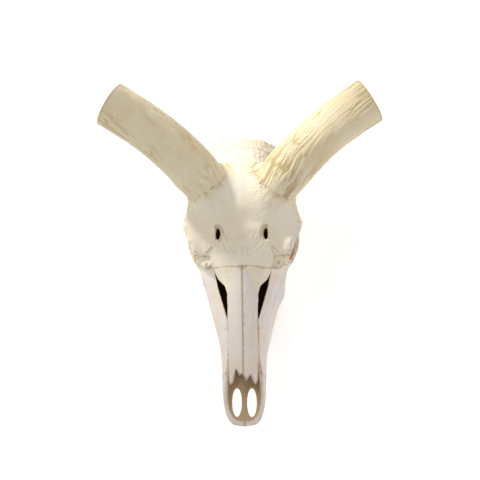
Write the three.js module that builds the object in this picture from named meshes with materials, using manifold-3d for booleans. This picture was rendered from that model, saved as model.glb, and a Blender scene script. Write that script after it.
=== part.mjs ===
// Skull of a greater kudu bull without its lower jaw, its bare horn cores sawn off short.
// Millimetres, +Z up. It lies as such a skull rests: on its cheek teeth and its two jugular processes.
// The snout points to -Y, the back of the head to +Y, and the animal's left side is +X.
// The whole bone is one smooth field of distances, meshed once and then parted along its main sutures.
import * as THREE from "three";
import { triTable } from "three/addons/objects/MarchingCubes.js";
import { mergeVertices } from "three/addons/utils/BufferGeometryUtils.js";
import Module from "manifold-3d";

const wasm = await Module();
wasm.setup();
const { abs, min, max, hypot, sqrt, sin, cos, PI } = Math;

// Driving dimensions. Y stations run back from the tip of the snout, Z up from the table.
const SKULL_LENGTH = 396;
const MIDDLE_Y = 212.2;
const SUTURE_GAP = 0.3;
const GRID_STEP = 2.7;
const BONE_TRIANGLES = 6600;

const WALL = 5.5;
const NASAL_THICKNESS = 5.5;
const NASAL_TIP_Y = 53;
const NASAL_ROOT_Y = 206;
const NASAL_HALF_WIDTH = 20;
const CAVITY_END_Y = 212;
const FLOOR_THICKNESS = 8;
const VOMER = { thickness: 4, frontY: 70, backY: 205, height: 24 };
const INCISIVE_WINDOW = { x: 10.4, y: 33, halfWidth: 6.8, halfLength: 19.5 };
const ORBIT = { x: 66, y: 243, z: 92, radius: 27, rim: 4.5, turn: 0.3 };
const BROW_THICKNESS = 11;
const FORAMEN_MAGNUM_RADIUS = 12.5;

// The horn core's axis on the left side, from inside the brow to the saw cut
const HORN_AXIS = [
  [25, 282, 116],
  [40, 303.5, 135],
  [72.5, 338.3, 160],
  [96, 357.6, 177],
  [125, 375.6, 198],
  [154, 389.4, 219],
  [170.7, 396.7, 231],
];
const HORN_HALF_WIDTH = 31.3;
const HORN_HALF_DEPTH = 32;
const HORN_TAPER = 0.06;
// The saw cut's plane holds this direction, and the core leans towards it over its last part.
const SAW_UPRIGHT = [0, -0.26, 0.97];
const SAW_FROM = 0.7;
const HORN_START = 0.22;
const PEDICLE_REACH = 41;
const PEDICLE_SPARE = 2;
const HORN_SIDES = 26;
const HORN_RINGS = 12;

// Cheek teeth from the second premolar to the last molar: length, width, lobes on the outer face
const TEETH = [
  { length: 12, width: 11, lobes: 1 },
  { length: 14, width: 13, lobes: 1 },
  { length: 14, width: 15, lobes: 1 },
  { length: 19, width: 17, lobes: 2 },
  { length: 22, width: 18, lobes: 2 },
  { length: 23, width: 17, lobes: 2 },
];
const FIRST_TOOTH_Y = 114;
const TOOTH_GAP = 0.6;
const TOOTH_ROOT_Z = 26;

// A smooth curve through [station, value] pairs, level beyond its ends.
function curve(...stations) {
  const last = stations.length - 1;
  const slopes = stations.map((_, i) => {
    const [before, low] = stations[max(i - 1, 0)];
    const [after, high] = stations[min(i + 1, last)];
    return (high - low) / (after - before);
  });
  return (at) => {
    if (at <= stations[0][0]) return stations[0][1];
    if (at >= stations[last][0]) return stations[last][1];
    let i = 0;
    while (at > stations[i + 1][0]) i++;
    const span = stations[i + 1][0] - stations[i][0];
    const t = (at - stations[i][0]) / span;
    const rise = t * t * (3 - 2 * t);
    const start = stations[i][1] + slopes[i] * span * t * (1 - t) * (1 - t);
    const end = slopes[i + 1] * span * t * t * (t - 1);
    return start + end + (stations[i + 1][1] - stations[i][1]) * rise;
  };
}

// Outlines of the skull along Y
const profile = curve(
  [0, 30], [NASAL_TIP_Y, 73], [100, 88], [150, 105], [NASAL_ROOT_Y, 125], [243, 136],
  [285, 149], [312, 152], [335, 147], [355, 134], [375, 116], [SKULL_LENGTH - 4, 97],
);
const nasalHalfWidth = curve([0, 19.5], [150, NASAL_HALF_WIDTH], [185, 23], [NASAL_ROOT_Y, 31], [240, 36]);
const cheekHalfWidth = curve(
  [-2, 10], [5, 21], [15, 27], [35, 31], [60, 32], [95, 33.5], [130, 40], [165, 49],
  [198, 58], [225, 60], [255, 46],
);
const cheekHeight = curve([0, 22], [35, 27], [60, 32], [95, 38], [130, 42], [165, 45], [198, 50], [240, 60]);
const gumHalfWidth = curve(
  [0, 14], [15, 23], [35, 27], [60, 28], [95, 29], [118, 35], [165, 47], [198, 53], [228, 51], [250, 42],
);
const gumHeight = curve([0, 17], [35, 20], [60, 23], [95, 24], [116, 18], [130, 16], [226, 16], [250, 38]);
const palateHeight = curve([0, 20], [60, 26], [118, 30], [165, 33], [228, 34], [250, 46]);
const apertureHeight = curve(
  [0, 29], [15, 31], [35, 39], [55, 51], [75, 65], [92, 82], [105, 110], [120, 150],
);
const browHalfWidth = curve(
  [186, 22], [204, 38], [212, 48], [219, 56], [226, 63], [235, 68.5], [242, 72], [252, 77],
  [261, 80], [270, 79], [285, 74], [305, 64], [330, 50],
);
const browFront = curve(
  [0, 187], [30, 200], [38, 206], [43, 219], [47, 221], [58, 216], [66, 221], [76, 236],
);
const browHeight = curve(
  [186, 108], [204, 113], [216, 116], [244, 122], [257, 124], [285, 125], [305, 126], [330, 122],
);
const browDrop = curve([186, 7], [204, 5], [230, 3]);
const caseHalfWidth = curve(
  [280, 30], [300, 40], [325, 46], [350, 47.5], [375, 47.5], [SKULL_LENGTH - 4, 45],
);
const caseFloor = curve([280, 50], [320, 40], [360, 34], [SKULL_LENGTH - 4, 32]);
const backOfHead = curve([30, 383], [60, 385], [80, 389], [97, SKULL_LENGTH - 2]);

// Soft joins of two distances: union, overlap and difference
function blend(a, b, soft) {
  const near = max(soft - abs(a - b), 0) / soft;
  return min(a, b) - (near * near * soft) / 4;
}
const meet = (a, b, soft) => -blend(-a, -b, soft);
const carve = (a, b, soft) => meet(a, -b, soft);

// Distance to a bar from a to b whose radius runs from ra to rb, stretched in Z by tall.
function bar(x, y, z, a, b, ra, rb, tall = 0) {
  const ux = b[0] - a[0];
  const uy = b[1] - a[1];
  const uz = b[2] - a[2];
  const along = (x - a[0]) * ux + (y - a[1]) * uy + (z - a[2]) * uz;
  const t = min(max(along / (ux * ux + uy * uy + uz * uz), 0), 1);
  const dx = x - a[0] - ux * t;
  const dy = y - a[1] - uy * t;
  const rise = z - a[2] - uz * t;
  const dz = rise - min(max(rise, -tall), tall);
  return sqrt(dx * dx + dy * dy + dz * dz) - (ra + (rb - ra) * t);
}

// Distance to a chain of bars through [x, y, z, radius] knots.
function chain(x, y, z, knots, tall = 0) {
  let nearest = Infinity;
  for (let i = 1; i < knots.length; i++) {
    const from = knots[i - 1];
    const to = knots[i];
    nearest = min(nearest, bar(x, y, z, from, to, from[3], to[3], tall));
  }
  return nearest;
}

function ellipsoid(x, y, z, centre, radii) {
  const px = (x - centre[0]) / radii[0];
  const py = (y - centre[1]) / radii[1];
  const pz = (z - centre[2]) / radii[2];
  const near = sqrt(px * px + py * py + pz * pz);
  const slope = sqrt((px / radii[0]) ** 2 + (py / radii[1]) ** 2 + (pz / radii[2]) ** 2);
  return slope > 0 ? (near * (near - 1)) / slope : -min(...radii);
}

// Distance in a cross-section to the line through two points, positive on the left of its run.
function edge(x, z, xa, za, xb, zb) {
  return ((za - zb) * (x - xa) + (xb - xa) * (z - za)) / hypot(xb - xa, zb - za);
}

// Every outline at one station, worked out once for each plane of the grid
function outlines(y) {
  const top = profile(y);
  return {
    y,
    top,
    nasal: nasalHalfWidth(y),
    cheek: cheekHalfWidth(y),
    cheekZ: cheekHeight(y),
    gum: gumHalfWidth(y),
    gumZ: gumHeight(y),
    palate: palateHeight(y),
    aperture: apertureHeight(y),
    brow: browHalfWidth(y),
    browZ: browHeight(y),
    browDrop: browDrop(y),
    caseWidth: caseHalfWidth(y),
    caseZ: caseFloor(y),
  };
}

const NASAL_DROP = 7;
const FLANK_OUT = 0.64;
const FLANK_DOWN = 0.42;
// Height over an arch that drops away from the midline, evened out towards a distance
const arch = (side, z, top, halfWidth, drop) => (z - top + drop * (side / halfWidth) ** 2) * 0.88;
const nasalRoof = (side, z, o) => arch(side, z, o.top, o.nasal, NASAL_DROP);

// The long face: two thin walls and a palate round the open nasal cavity
function face(side, y, z, o) {
  const shoulder = o.top - NASAL_DROP;
  const roof = nasalRoof(side, z, o);
  const flank = o.nasal + (o.cheek - o.nasal) * FLANK_OUT;
  const flankZ = shoulder - (shoulder - o.cheekZ) * FLANK_DOWN;
  const upper = edge(side, z, o.nasal, shoulder, flank, flankZ);
  const wall = meet(upper, edge(side, z, flank, flankZ, o.cheek, o.cheekZ), 6);
  const jaw = edge(side, z, o.cheek, o.cheekZ, o.gum, o.gumZ);
  const palate = edge(side, z, o.gum, o.gumZ, 0, o.palate);
  let outer = meet(meet(roof, wall, 4), meet(jaw, palate, 4), 6);
  outer = meet(outer, meet(-y, y - 252, 1), 8);
  const opened = meet(outer, (z - o.aperture) * 0.8, 3);
  const floor = o.palate + FLOOR_THICKNESS;
  let cavity = meet(outer + WALL, floor - z, 4);
  cavity = meet(cavity, y - CAVITY_END_Y, 8);
  const throat = bar(side, y, z, [0, 196, 56], [0, 292, 54], 10.5, 10.5, 5);
  let bone = carve(carve(opened, cavity, 2), throat, 3);
  const w = INCISIVE_WINDOW;
  const leaf = hypot((side - w.x) / w.halfWidth, (y - w.y) / w.halfLength);
  bone = carve(bone, (leaf - 1) * w.halfWidth, 1.5);
  const vomerTop = floor + VOMER.height - z;
  const vomerEnds = meet(VOMER.frontY + (z - floor) * 0.9 - y, y - VOMER.backY, 2);
  const vomer = meet(side - VOMER.thickness / 2, meet(-vomerTop, vomerEnds, 2), 1);
  return min(bone, meet(vomer, floor - 4 - z, 1));
}

// The paired nasal bones, a thin arched roof
function nasals(side, y, z, o) {
  const roof = nasalRoof(side, z, o);
  const plate = meet(roof, -roof - NASAL_THICKNESS, 1.5);
  const plan = meet(side - o.nasal, meet(NASAL_TIP_Y - 4 - y, y - NASAL_ROOT_Y, 1), 1);
  return meet(plate, plan, 1.5);
}

// The brow plate over the orbits and the solid core between them
function brow(side, y, z, o) {
  const bend = o.brow * 0.5;
  const crown = arch(side, z, o.top, bend, o.browDrop);
  const slope = edge(side, z, bend, o.top - o.browDrop, o.brow, o.browZ);
  let plate = meet(meet(crown, slope, 8), (side - o.brow) * 0.8, 4);
  plate = meet(plate, o.browZ - BROW_THICKNESS - z, 5);
  plate = meet(plate, meet(browFront(side) - y, y - 340, 1), 5);
  const core = meet(side - 27, meet(abs(y - 254) - 50, abs(z - 82) - 36, 14), 14);
  return blend(plate, core, 10);
}

function braincase(side, y, z, o) {
  const w = o.caseWidth;
  const crown = arch(side, z, o.top, 0.62 * w, 0.14 * w);
  const temple = edge(side, z, 0.62 * w, o.top - 0.14 * w, w, 82);
  const cheek = edge(side, z, w, 82, 0.6 * w, o.caseZ);
  let vault = meet(meet(crown, temple, 14), meet(cheek, o.caseZ - z, 12), 10);
  vault = meet(vault, 276 - y, 10);
  return meet(vault, (y - backOfHead(z)) * 0.96, 6);
}

// The occiput: crest, condyles, the hole for the spinal cord and the jugular processes
function occiput(d, side, y, z) {
  const crest = [[0, 389, 95, 5.5], [28, 389, 90, 5.5], [44, 384, 78, 5], [49, 369, 56, 5]];
  let bone = blend(d, chain(side, y, z, crest), 7);
  bone = blend(bone, ellipsoid(side, y, z, [18.5, 388, 37], [11, 12, 16]), 5);
  bone = blend(bone, bar(side, y, z, [40, 368, 52], [38, 363, 4], 10, 5.5), 9);
  const cord = bar(side, y, z, [0, 412, 49], [0, 362, 47], FORAMEN_MAGNUM_RADIUS, FORAMEN_MAGNUM_RADIUS);
  return carve(bone, cord, 2);
}

// The underside: basal rod, ear bulbs, ear tubes, jaw sockets and the two pterygoid blades
function base(d, side, y, z) {
  const rod = chain(side * 0.8, y, z, [[0, 382, 37, 10], [0, 300, 45, 11], [0, 246, 68, 12]]);
  let bone = blend(d, rod, 8);
  bone = blend(bone, ellipsoid(side, y, z, [27, 335, 33], [9.5, 14, 15]), 4);
  bone = blend(bone, bar(side, y, z, [36, 350, 52], [56, 354, 58], 7, 6.5), 4);
  bone = blend(bone, ellipsoid(side, y, z, [48, 339, 60], [14, 12, 8]), 6);
  const blade = meet(abs(side - 14.5) - 2.6, meet(abs(y - 259) - 26, abs(z - 45) - 19, 6), 2);
  return blend(bone, blade, 4);
}

// Knob in front of each brow, cheekbone, orbit ring and the arch back to the ear
const KNOB = { centre: [45, 212.5, 104], radii: [11, 9, 8] };
function cheekbone(d, side, y, z) {
  const reach = (side - ORBIT.x) * cos(ORBIT.turn) - (y - ORBIT.y) * sin(ORBIT.turn);
  const around = hypot(side - ORBIT.x, y - ORBIT.y, z - ORBIT.z);
  const spread = sqrt(max(around * around - reach * reach, 0));
  const ring = hypot(spread - ORBIT.radius, reach) - ORBIT.rim;
  let bone = blend(d, ring, 8);
  bone = blend(bone, ellipsoid(side, y, z, KNOB.centre, KNOB.radii), 5);
  const jugal = [
    [48, 200, 58, 9], [51, 214, 61, 8.5], [61.5, 230, 65, 9.5], [68.5, 246, 66, 8.5], [70, 272, 71, 7],
  ];
  bone = blend(bone, chain(side, y, z, jugal), 8);
  bone = blend(bone, chain(side, y, z, [[71, 262, 116, 7], [72.5, 272, 95, 5.5], [70, 273, 72, 6]]), 6);
  const zygoma = [[69, 274, 70, 5], [67, 303, 67, 4.5], [61, 330, 68, 4.5], [50, 346, 66, 8]];
  bone = blend(bone, chain(side, y, z, zygoma, 4), 5);
  const socket = [
    [ORBIT.x + 20 * cos(ORBIT.turn), ORBIT.y - 20 * sin(ORBIT.turn), ORBIT.z, ORBIT.radius - ORBIT.rim],
    [ORBIT.x - 8, ORBIT.y + 3, ORBIT.z, ORBIT.radius - 3],
    [37, 256, 88, 15],
  ];
  return carve(bone, chain(side, y, z, socket), 4);
}

// Centre, tangent and the two directions of a cross-section of the left horn core
const hornAxis = new THREE.CatmullRomCurve3(HORN_AXIS.map((p) => new THREE.Vector3(...p)));
function hornFrame(t) {
  const centre = hornAxis.getPoint(t);
  const tangent = hornAxis.getTangent(t);
  const depth = new THREE.Vector3(...SAW_UPRIGHT).projectOnPlane(tangent).normalize();
  return { centre, tangent, depth, across: new THREE.Vector3().crossVectors(depth, tangent) };
}
const hornRoot = hornFrame(HORN_START);
const sawNormal = hornFrame(1).tangent.projectOnPlane(new THREE.Vector3(...SAW_UPRIGHT)).normalize();

// The pit beside each brow, steep on its outer side
const BROW_PIT = { centre: [34, 246, 137], radii: [9, 12, 8.5], wallX: 34.5 };

// The whole bone without teeth and without the horn cores past their bases
function skullField(x, y, z, o) {
  const side = abs(x);
  let d = blend(brow(side, y, z, o), braincase(side, y, z, o), 12);
  const pedicle = [[34, 288, 120, 27], [47, 312, 141, 30.5], [68, 336, 157, 31]];
  const { centre, tangent } = hornRoot;
  const past = (side - centre.x) * tangent.x + (y - centre.y) * tangent.y + (z - centre.z) * tangent.z;
  d = blend(d, meet(chain(side, y, z, pedicle), past - PEDICLE_SPARE, 2), 16);
  d = base(d, side, y, z);
  d = occiput(d, side, y, z);
  d = blend(d, face(side, y, z, o), 10);
  d = min(d, nasals(side, y, z, o));
  d = cheekbone(d, side, y, z);
  const pit = meet(ellipsoid(side, y, z, BROW_PIT.centre, BROW_PIT.radii), side - BROW_PIT.wallX, 1);
  return carve(d, pit, 1.5);
}

// The cube's corners in the order of the table of cases, and the pairs of corners its edges join
const CORNERS = [[0, 0, 0], [1, 0, 0], [1, 1, 0], [0, 1, 0], [0, 0, 1], [1, 0, 1], [1, 1, 1], [0, 1, 1]];
const EDGES = [
  [0, 1], [1, 2], [2, 3], [3, 0], [4, 5], [5, 6], [6, 7], [7, 4], [0, 4], [1, 5], [2, 6], [3, 7],
];

// Share of a distance within which the bone's surface is sure not to be met
const CLEAR = 0.35;

// Marching cubes over a box: vertices as [x, y, z] and triangles as index triples.
function isosurface(low, high, step) {
  const count = low.map((v, i) => Math.ceil((high[i] - v) / step) + 1);
  const index = (i, j, k) => (j * count[2] + k) * count[0] + i;
  const values = new Float64Array(count[0] * count[1] * count[2]);
  for (let j = 0; j < count[1]; j++) {
    const o = outlines(low[1] + j * step);
    for (let k = 0; k < count[2]; k++)
      for (let i = 0; i < count[0]; ) {
        const distance = skullField(low[0] + i * step, o.y, low[2] + k * step, o);
        const clear = min(i + 1 + Math.floor((CLEAR * abs(distance)) / step), count[0]);
        for (; i < clear; i++) values[index(i, j, k)] = distance;
      }
  }
  const [vertices, triangles, known] = [[], [], new Map()];
  const crossing = (cell, [a, b]) => {
    const ends = [a, b].map((c) => CORNERS[c].map((offset, axis) => cell[axis] + offset));
    const [ia, ib] = ends.map((end) => index(...end));
    const key = min(ia, ib) * values.length + max(ia, ib);
    if (!known.has(key)) {
      const t = min(max(values[ia] / (values[ia] - values[ib]), 0.02), 0.98);
      known.set(key, vertices.length);
      vertices.push(low.map((v, axis) => v + step * (ends[0][axis] * (1 - t) + ends[1][axis] * t)));
    }
    return known.get(key);
  };
  for (let j = 0; j < count[1] - 1; j++)
    for (let k = 0; k < count[2] - 1; k++)
      for (let i = 0; i < count[0] - 1; i++) {
        let shape = 0;
        CORNERS.forEach(([a, b, c], bit) => {
          if (values[index(i + a, j + b, k + c)] < 0) shape |= 1 << bit;
        });
        if (shape === 0 || shape === 255) continue;
        for (let n = shape * 16; triTable[n] >= 0; n += 3)
          triangles.push([n, n + 2, n + 1].map((at) => crossing([i, j, k], EDGES[triTable[at]])));
      }
  return { vertices, triangles };
}

const minus = (a, b) => [a[0] - b[0], a[1] - b[1], a[2] - b[2]];
const dot = (a, b) => a[0] * b[0] + a[1] * b[1] + a[2] * b[2];
const cross = (a, b) => [a[1] * b[2] - a[2] * b[1], a[2] * b[0] - a[0] * b[2], a[0] * b[1] - a[1] * b[0]];
const normalOf = ([a, b, c]) => cross(minus(b, a), minus(c, a));

// A heap of [cost, ...] entries, cheapest first
class Heap {
  items = [];
  push(item) {
    const list = this.items;
    let at = list.push(item) - 1;
    while (at > 0 && list[(at - 1) >> 1][0] > item[0]) {
      list[at] = list[(at - 1) >> 1];
      at = (at - 1) >> 1;
    }
    list[at] = item;
  }
  pop() {
    const list = this.items;
    const first = list[0];
    const item = list.pop();
    let at = 0;
    while (list.length) {
      let next = 2 * at + 1;
      if (next + 1 < list.length && list[next + 1][0] < list[next][0]) next++;
      if (next >= list.length || list[next][0] >= item[0]) break;
      list[at] = list[next];
      at = next;
    }
    if (list.length) list[at] = item;
    return first;
  }
}

// Collapses the edges that change the surface least until few enough triangles are left.
// Each vertex carries the summed squares of the distances to the planes of its first triangles.
function thin({ vertices, triangles }, target) {
  const planes = vertices.map(() => new Float64Array(10));
  const fans = vertices.map(() => new Set());
  const turns = vertices.map(() => 0);
  const corners = (t) => triangles[t].map((v) => vertices[v]);
  triangles.forEach((triangle, t) => {
    const normal = normalOf(corners(t));
    const area = hypot(...normal);
    const [a, b, c] = normal.map((v) => v / max(area, 1e-9));
    const d = -dot([a, b, c], vertices[triangle[0]]);
    const square = [a * a, a * b, a * c, a * d, b * b, b * c, b * d, c * c, c * d, d * d];
    for (const v of triangle) {
      fans[v].add(t);
      square.forEach((s, i) => (planes[v][i] += s * area));
    }
  });
  const around = (v) => new Set([...fans[v]].flatMap((t) => triangles[t]));
  const error = (q, [x, y, z]) =>
    q[0] * x * x + 2 * x * (q[1] * y + q[2] * z + q[3]) + q[4] * y * y +
    2 * y * (q[5] * z + q[6]) + q[7] * z * z + 2 * z * q[8] + q[9];
  const best = (u, v) => {
    const q = planes[u].map((value, i) => value + planes[v][i]);
    const middle = vertices[u].map((value, i) => (value + vertices[v][i]) / 2);
    const options = [middle, vertices[u], vertices[v]];
    const [r0, r1, r2] = [[q[0], q[1], q[2]], [q[1], q[4], q[5]], [q[2], q[5], q[7]]];
    const volume = dot(r0, cross(r1, r2));
    if (abs(volume) > 1e-3 * (q[0] + q[4] + q[7]) ** 3) {
      const right = [-q[3], -q[6], -q[8]];
      const sums = [cross(r1, r2), cross(r2, r0), cross(r0, r1)];
      options.push([0, 1, 2].map((i) => sums.reduce((sum, s, k) => sum + s[i] * right[k], 0) / volume));
    }
    const reach = 2 * hypot(...minus(vertices[u], vertices[v]));
    const near = options.filter((p) => hypot(...minus(p, middle)) <= reach);
    const costs = near.map((p) => error(q, p));
    const cheapest = costs.indexOf(min(...costs));
    return { place: near[cheapest], cost: max(costs[cheapest], 0) + 1e-4 * reach * reach };
  };
  const heap = new Heap();
  const offer = (u, v) => heap.push([best(u, v).cost, u, v, turns[u], turns[v]]);
  triangles.forEach(([a, b, c]) => [[a, b], [b, c], [c, a]].forEach(([u, v]) => u < v && offer(u, v)));
  let left = triangles.length;
  while (left > target && heap.items.length) {
    const [, u, v, turnU, turnV] = heap.pop();
    if (turns[u] !== turnU || turns[v] !== turnV || turnU < 0 || turnV < 0) continue;
    const shared = [...fans[u]].filter((t) => fans[v].has(t));
    const [ringU, ringV] = [around(u), around(v)];
    const common = [...ringU].filter((n) => ringV.has(n)).length - 2;
    if (shared.length !== 2 || common !== 2) continue;
    const { place } = best(u, v);
    const kept = [...fans[u], ...fans[v]].filter((t) => !shared.includes(t));
    const turned = kept.some((t) => {
      const before = normalOf(corners(t));
      const after = normalOf(triangles[t].map((n) => (n === u || n === v ? place : vertices[n])));
      return dot(before, after) < 0.35 * hypot(...before) * hypot(...after);
    });
    if (turned) continue;
    vertices[u] = place;
    planes[u] = planes[u].map((value, i) => value + planes[v][i]);
    shared.forEach((t) => {
      triangles[t].forEach((n) => fans[n].delete(t));
      triangles[t] = null;
    });
    fans[v].forEach((t) => {
      triangles[t] = triangles[t].map((n) => (n === v ? u : n));
      fans[u].add(t);
    });
    turns[v] = -1;
    turns[u] += 1;
    left -= 2;
    for (const n of around(u)) if (n !== u) offer(u, n);
  }
  return { vertices, triangles: triangles.filter(Boolean) };
}

// Solids for cutting and joining, from lists of points or from three.js geometry
function solidOfLists({ vertices, triangles }) {
  return new wasm.Manifold(
    new wasm.Mesh({
      numProp: 3,
      vertProperties: new Float32Array(vertices.flat()),
      triVerts: new Uint32Array(triangles.flat()),
    }),
  );
}

function solidOfGeometry(geometry) {
  const bare = new THREE.BufferGeometry().setIndex(geometry.index);
  bare.setAttribute("position", geometry.getAttribute("position"));
  const merged = mergeVertices(bare, 1e-3);
  return new wasm.Manifold(
    new wasm.Mesh({
      numProp: 3,
      vertProperties: merged.attributes.position.array,
      triVerts: new Uint32Array(merged.index.array),
    }),
  );
}

function geometryOf(solid) {
  const mesh = solid.getMesh();
  const geometry = new THREE.BufferGeometry();
  geometry.setAttribute("position", new THREE.BufferAttribute(mesh.vertProperties.slice(), 3));
  geometry.setIndex(new THREE.BufferAttribute(mesh.triVerts.slice(), 1));
  geometry.computeVertexNormals();
  return geometry;
}

const largest = (solid) => solid.decompose().reduce((a, b) => (b.volume() > a.volume() ? b : a));

// A prism drawn through the bone along one axis from an outline in the plane of the other two,
// and a thin curtain along a suture: a line with a copy of it shifted by the gap.
const FRAMES = {
  plan: (a, b, depth) => [a, b, depth],
  side: (a, b, depth) => [depth, a, b],
};
function prism(frame, outline, from, to) {
  const shape = new THREE.Shape(outline.map(([a, b]) => new THREE.Vector2(a, b)));
  const geometry = new THREE.ExtrudeGeometry(shape, { depth: to - from, bevelEnabled: false });
  const place = geometry.getAttribute("position");
  for (let i = 0; i < place.count; i++)
    place.setXYZ(i, ...FRAMES[frame](place.getX(i), place.getY(i), place.getZ(i) + from));
  return solidOfGeometry(geometry);
}
function curtain(frame, line, shift, from, to) {
  const shifted = line.map(([a, b]) => [a + shift[0], b + shift[1]]);
  return prism(frame, [...line, ...shifted.reverse()], from, to);
}

const ACROSS = 120;
const crossSuture = (line) => curtain("side", line, [SUTURE_GAP * 1.2, 0], -ACROSS, ACROSS);
const levelSuture = (line, from, to) => curtain("side", line, [0, SUTURE_GAP], from, to);
const longSuture = (line, from, to) => curtain("plan", line, [SUTURE_GAP, 0], from, to);
const mirrored = (line) => line.map(([x, y]) => [-x, y]);

// The two largest pieces on either side of the cuts, the one further along the axis second
function parted(solid, axis, ...cuts) {
  const pieces = cuts.reduce((bone, cut) => bone.subtract(cut), solid).decompose();
  const largestFirst = pieces.sort((a, b) => b.volume() - a.volume());
  return largestFirst.slice(0, 2).sort((a, b) => centreOf(a)[axis] - centreOf(b)[axis]);
}

function centreOf(solid) {
  const { min: low, max: high } = solid.boundingBox();
  return low.map((v, i) => (v + high[i]) / 2);
}

// A ring loft along the horn core with flat ends: section(t, angle) gives the two offsets from its axis.
function loft(from, to, rings, sides, section) {
  const [vertices, triangles] = [[], []];
  for (let i = 0; i <= rings; i++) {
    const t = from + ((to - from) * i) / rings;
    const { centre, tangent, across, depth } = hornFrame(t);
    const leaning = max((t - SAW_FROM) / (1 - SAW_FROM), 0) / tangent.dot(sawNormal);
    for (let j = 0; j < sides; j++) {
      const [a, b] = section(t, (2 * PI * j) / sides);
      const offset = across.clone().multiplyScalar(a).addScaledVector(depth, b);
      offset.addScaledVector(tangent, -leaning * offset.dot(sawNormal));
      vertices.push(centre.clone().add(offset).toArray());
    }
  }
  for (let i = 0; i < rings; i++)
    for (let j = 0; j < sides; j++) {
      const [a, b] = [i * sides + j, i * sides + ((j + 1) % sides)];
      triangles.push([a, b, b + sides], [a, b + sides, a + sides]);
    }
  const last = rings * sides;
  for (let j = 1; j < sides - 1; j++) triangles.push([0, j + 1, j], [last, last + j, last + j + 1]);
  return { vertices, triangles };
}

// Oval with a blunt keel along its front, thickest at the root
function hornSection(t, angle) {
  const taper = 0.16 * (t - 0.72) ** 2 - HORN_TAPER * (t - HORN_START);
  const girth = 1 + taper + 0.035 * max(cos(angle - 2.2), 0) ** 4;
  return [HORN_HALF_WIDTH * girth * cos(angle), HORN_HALF_DEPTH * girth * sin(angle)];
}

// The left horn core, or with room round it what it needs clear of the skull
function hornCore(room = 0) {
  const start = HORN_START + (SUTURE_GAP - room) / hornAxis.getLength();
  const grown = 1 + room / HORN_HALF_WIDTH;
  const section = (t, angle) => hornSection(t, angle).map((v) => v * grown);
  return solidOfLists(loft(start, 1, HORN_RINGS, HORN_SIDES, section));
}

// The slice of the left pedicle past the plane where the horn core begins
function pedicleEnd() {
  const { centre, tangent, depth, across } = hornRoot;
  const thick = 3 * PEDICLE_SPARE;
  const drum = new THREE.CylinderGeometry(PEDICLE_REACH, PEDICLE_REACH, thick, HORN_SIDES);
  drum.translate(0, thick / 2, 0);
  drum.applyMatrix4(new THREE.Matrix4().makeBasis(depth, tangent, across).setPosition(centre));
  return solidOfGeometry(drum);
}
const otherSide = (solid) => solid.mirror([1, 0, 0]);

// One cheek tooth: a crown whose outer face swells into lobes, worn flat at the table
const TOOTH_POINTS = 6;
function tooth(x, y, { length, width, lobes }) {
  const outline = [];
  for (let i = 0; i <= TOOTH_POINTS * lobes; i++) {
    const t = i / (TOOTH_POINTS * lobes);
    const swell = 0.66 + 0.34 * abs(sin(PI * lobes * t)) ** 0.6;
    outline.push(new THREE.Vector2(x + (width / 2) * swell, y + length * (t - 0.5)));
  }
  outline.push(new THREE.Vector2(x - width * 0.4, y + length * 0.5));
  for (let i = lobes; i > 0; i--) {
    const middle = (i - 0.5) / lobes - 0.5;
    outline.push(new THREE.Vector2(x - width * 0.5, y + length * (middle + 0.18 / lobes)));
    outline.push(new THREE.Vector2(x - width * 0.5, y + length * (middle - 0.18 / lobes)));
    outline.push(new THREE.Vector2(x - width * 0.4, y + length * ((i - 1) / lobes - 0.5)));
  }
  const shape = new THREE.Shape(outline);
  return solidOfGeometry(new THREE.ExtrudeGeometry(shape, { depth: TOOTH_ROOT_Z, bevelEnabled: false }));
}

function toothRow() {
  let y = FIRST_TOOTH_Y;
  return TEETH.map((size) => {
    const middle = y + size.length / 2;
    y += size.length + TOOTH_GAP;
    return tooth(gumHalfWidth(middle) - size.width / 2 - 1.5, middle, size);
  });
}

// The leaf-shaped gap beside the root of each nasal bone, open from above into the nasal cavity
const GAP_INNER = [[20.4, 139], [20.6, 160], [21, 172], [24, 181.7], [29, 187], [34, 192.7], [38, 202]];
const GAP_OUTER = [[38.6, 203], [36, 192.7], [33.6, 181.7], [27.2, 160], [21, 139]];
const ethmoidGap = prism("plan", [...GAP_INNER, ...GAP_OUTER], 70, 190);

// The notched tips of the nasal bones, left and right
const NASAL_TIPS = [
  [[23, 64], [20, 62], [18, 56], [16.2, 53], [14, 55], [9.2, 66], [3.7, 56.5], [0.8, 64], [0, 65]],
  [[0, 65], [-2.8, 67], [-5.3, 64], [-9.7, 74], [-13.6, 56], [-17, 53], [-20, 54], [-21.5, 62], [-23, 64]],
];
const nasalNotches = NASAL_TIPS.map((tips) => {
  const [first, last] = [tips[0], tips[tips.length - 1]];
  return prism("plan", [...tips, [last[0], 40], [first[0], 40]], 54, 190);
});

// The whole skull, then its bones
const grid = isosurface([-91, -6, -8], [91, 408, 192], GRID_STEP);
const whole = solidOfLists(thin(grid, BONE_TRIANGLES));
const table = curtain("side", [[-20, 0], [420, 0]], [0, -20], -ACROSS, ACROSS);
const hornRoom = pedicleEnd().add(hornCore(SUTURE_GAP));
const clearance = [table, hornRoom, otherSide(hornRoom), ethmoidGap, otherSide(ethmoidGap), ...nasalNotches];
const skull = largest(clearance.reduce((bone, cut) => bone.subtract(cut), whole));

const faceSuture = crossSuture([[201, 190], [204, 112], [212, 90], [236, 40], [240, -10]]);
const [facial, cranial] = parted(skull, 1, faceSuture);

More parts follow.
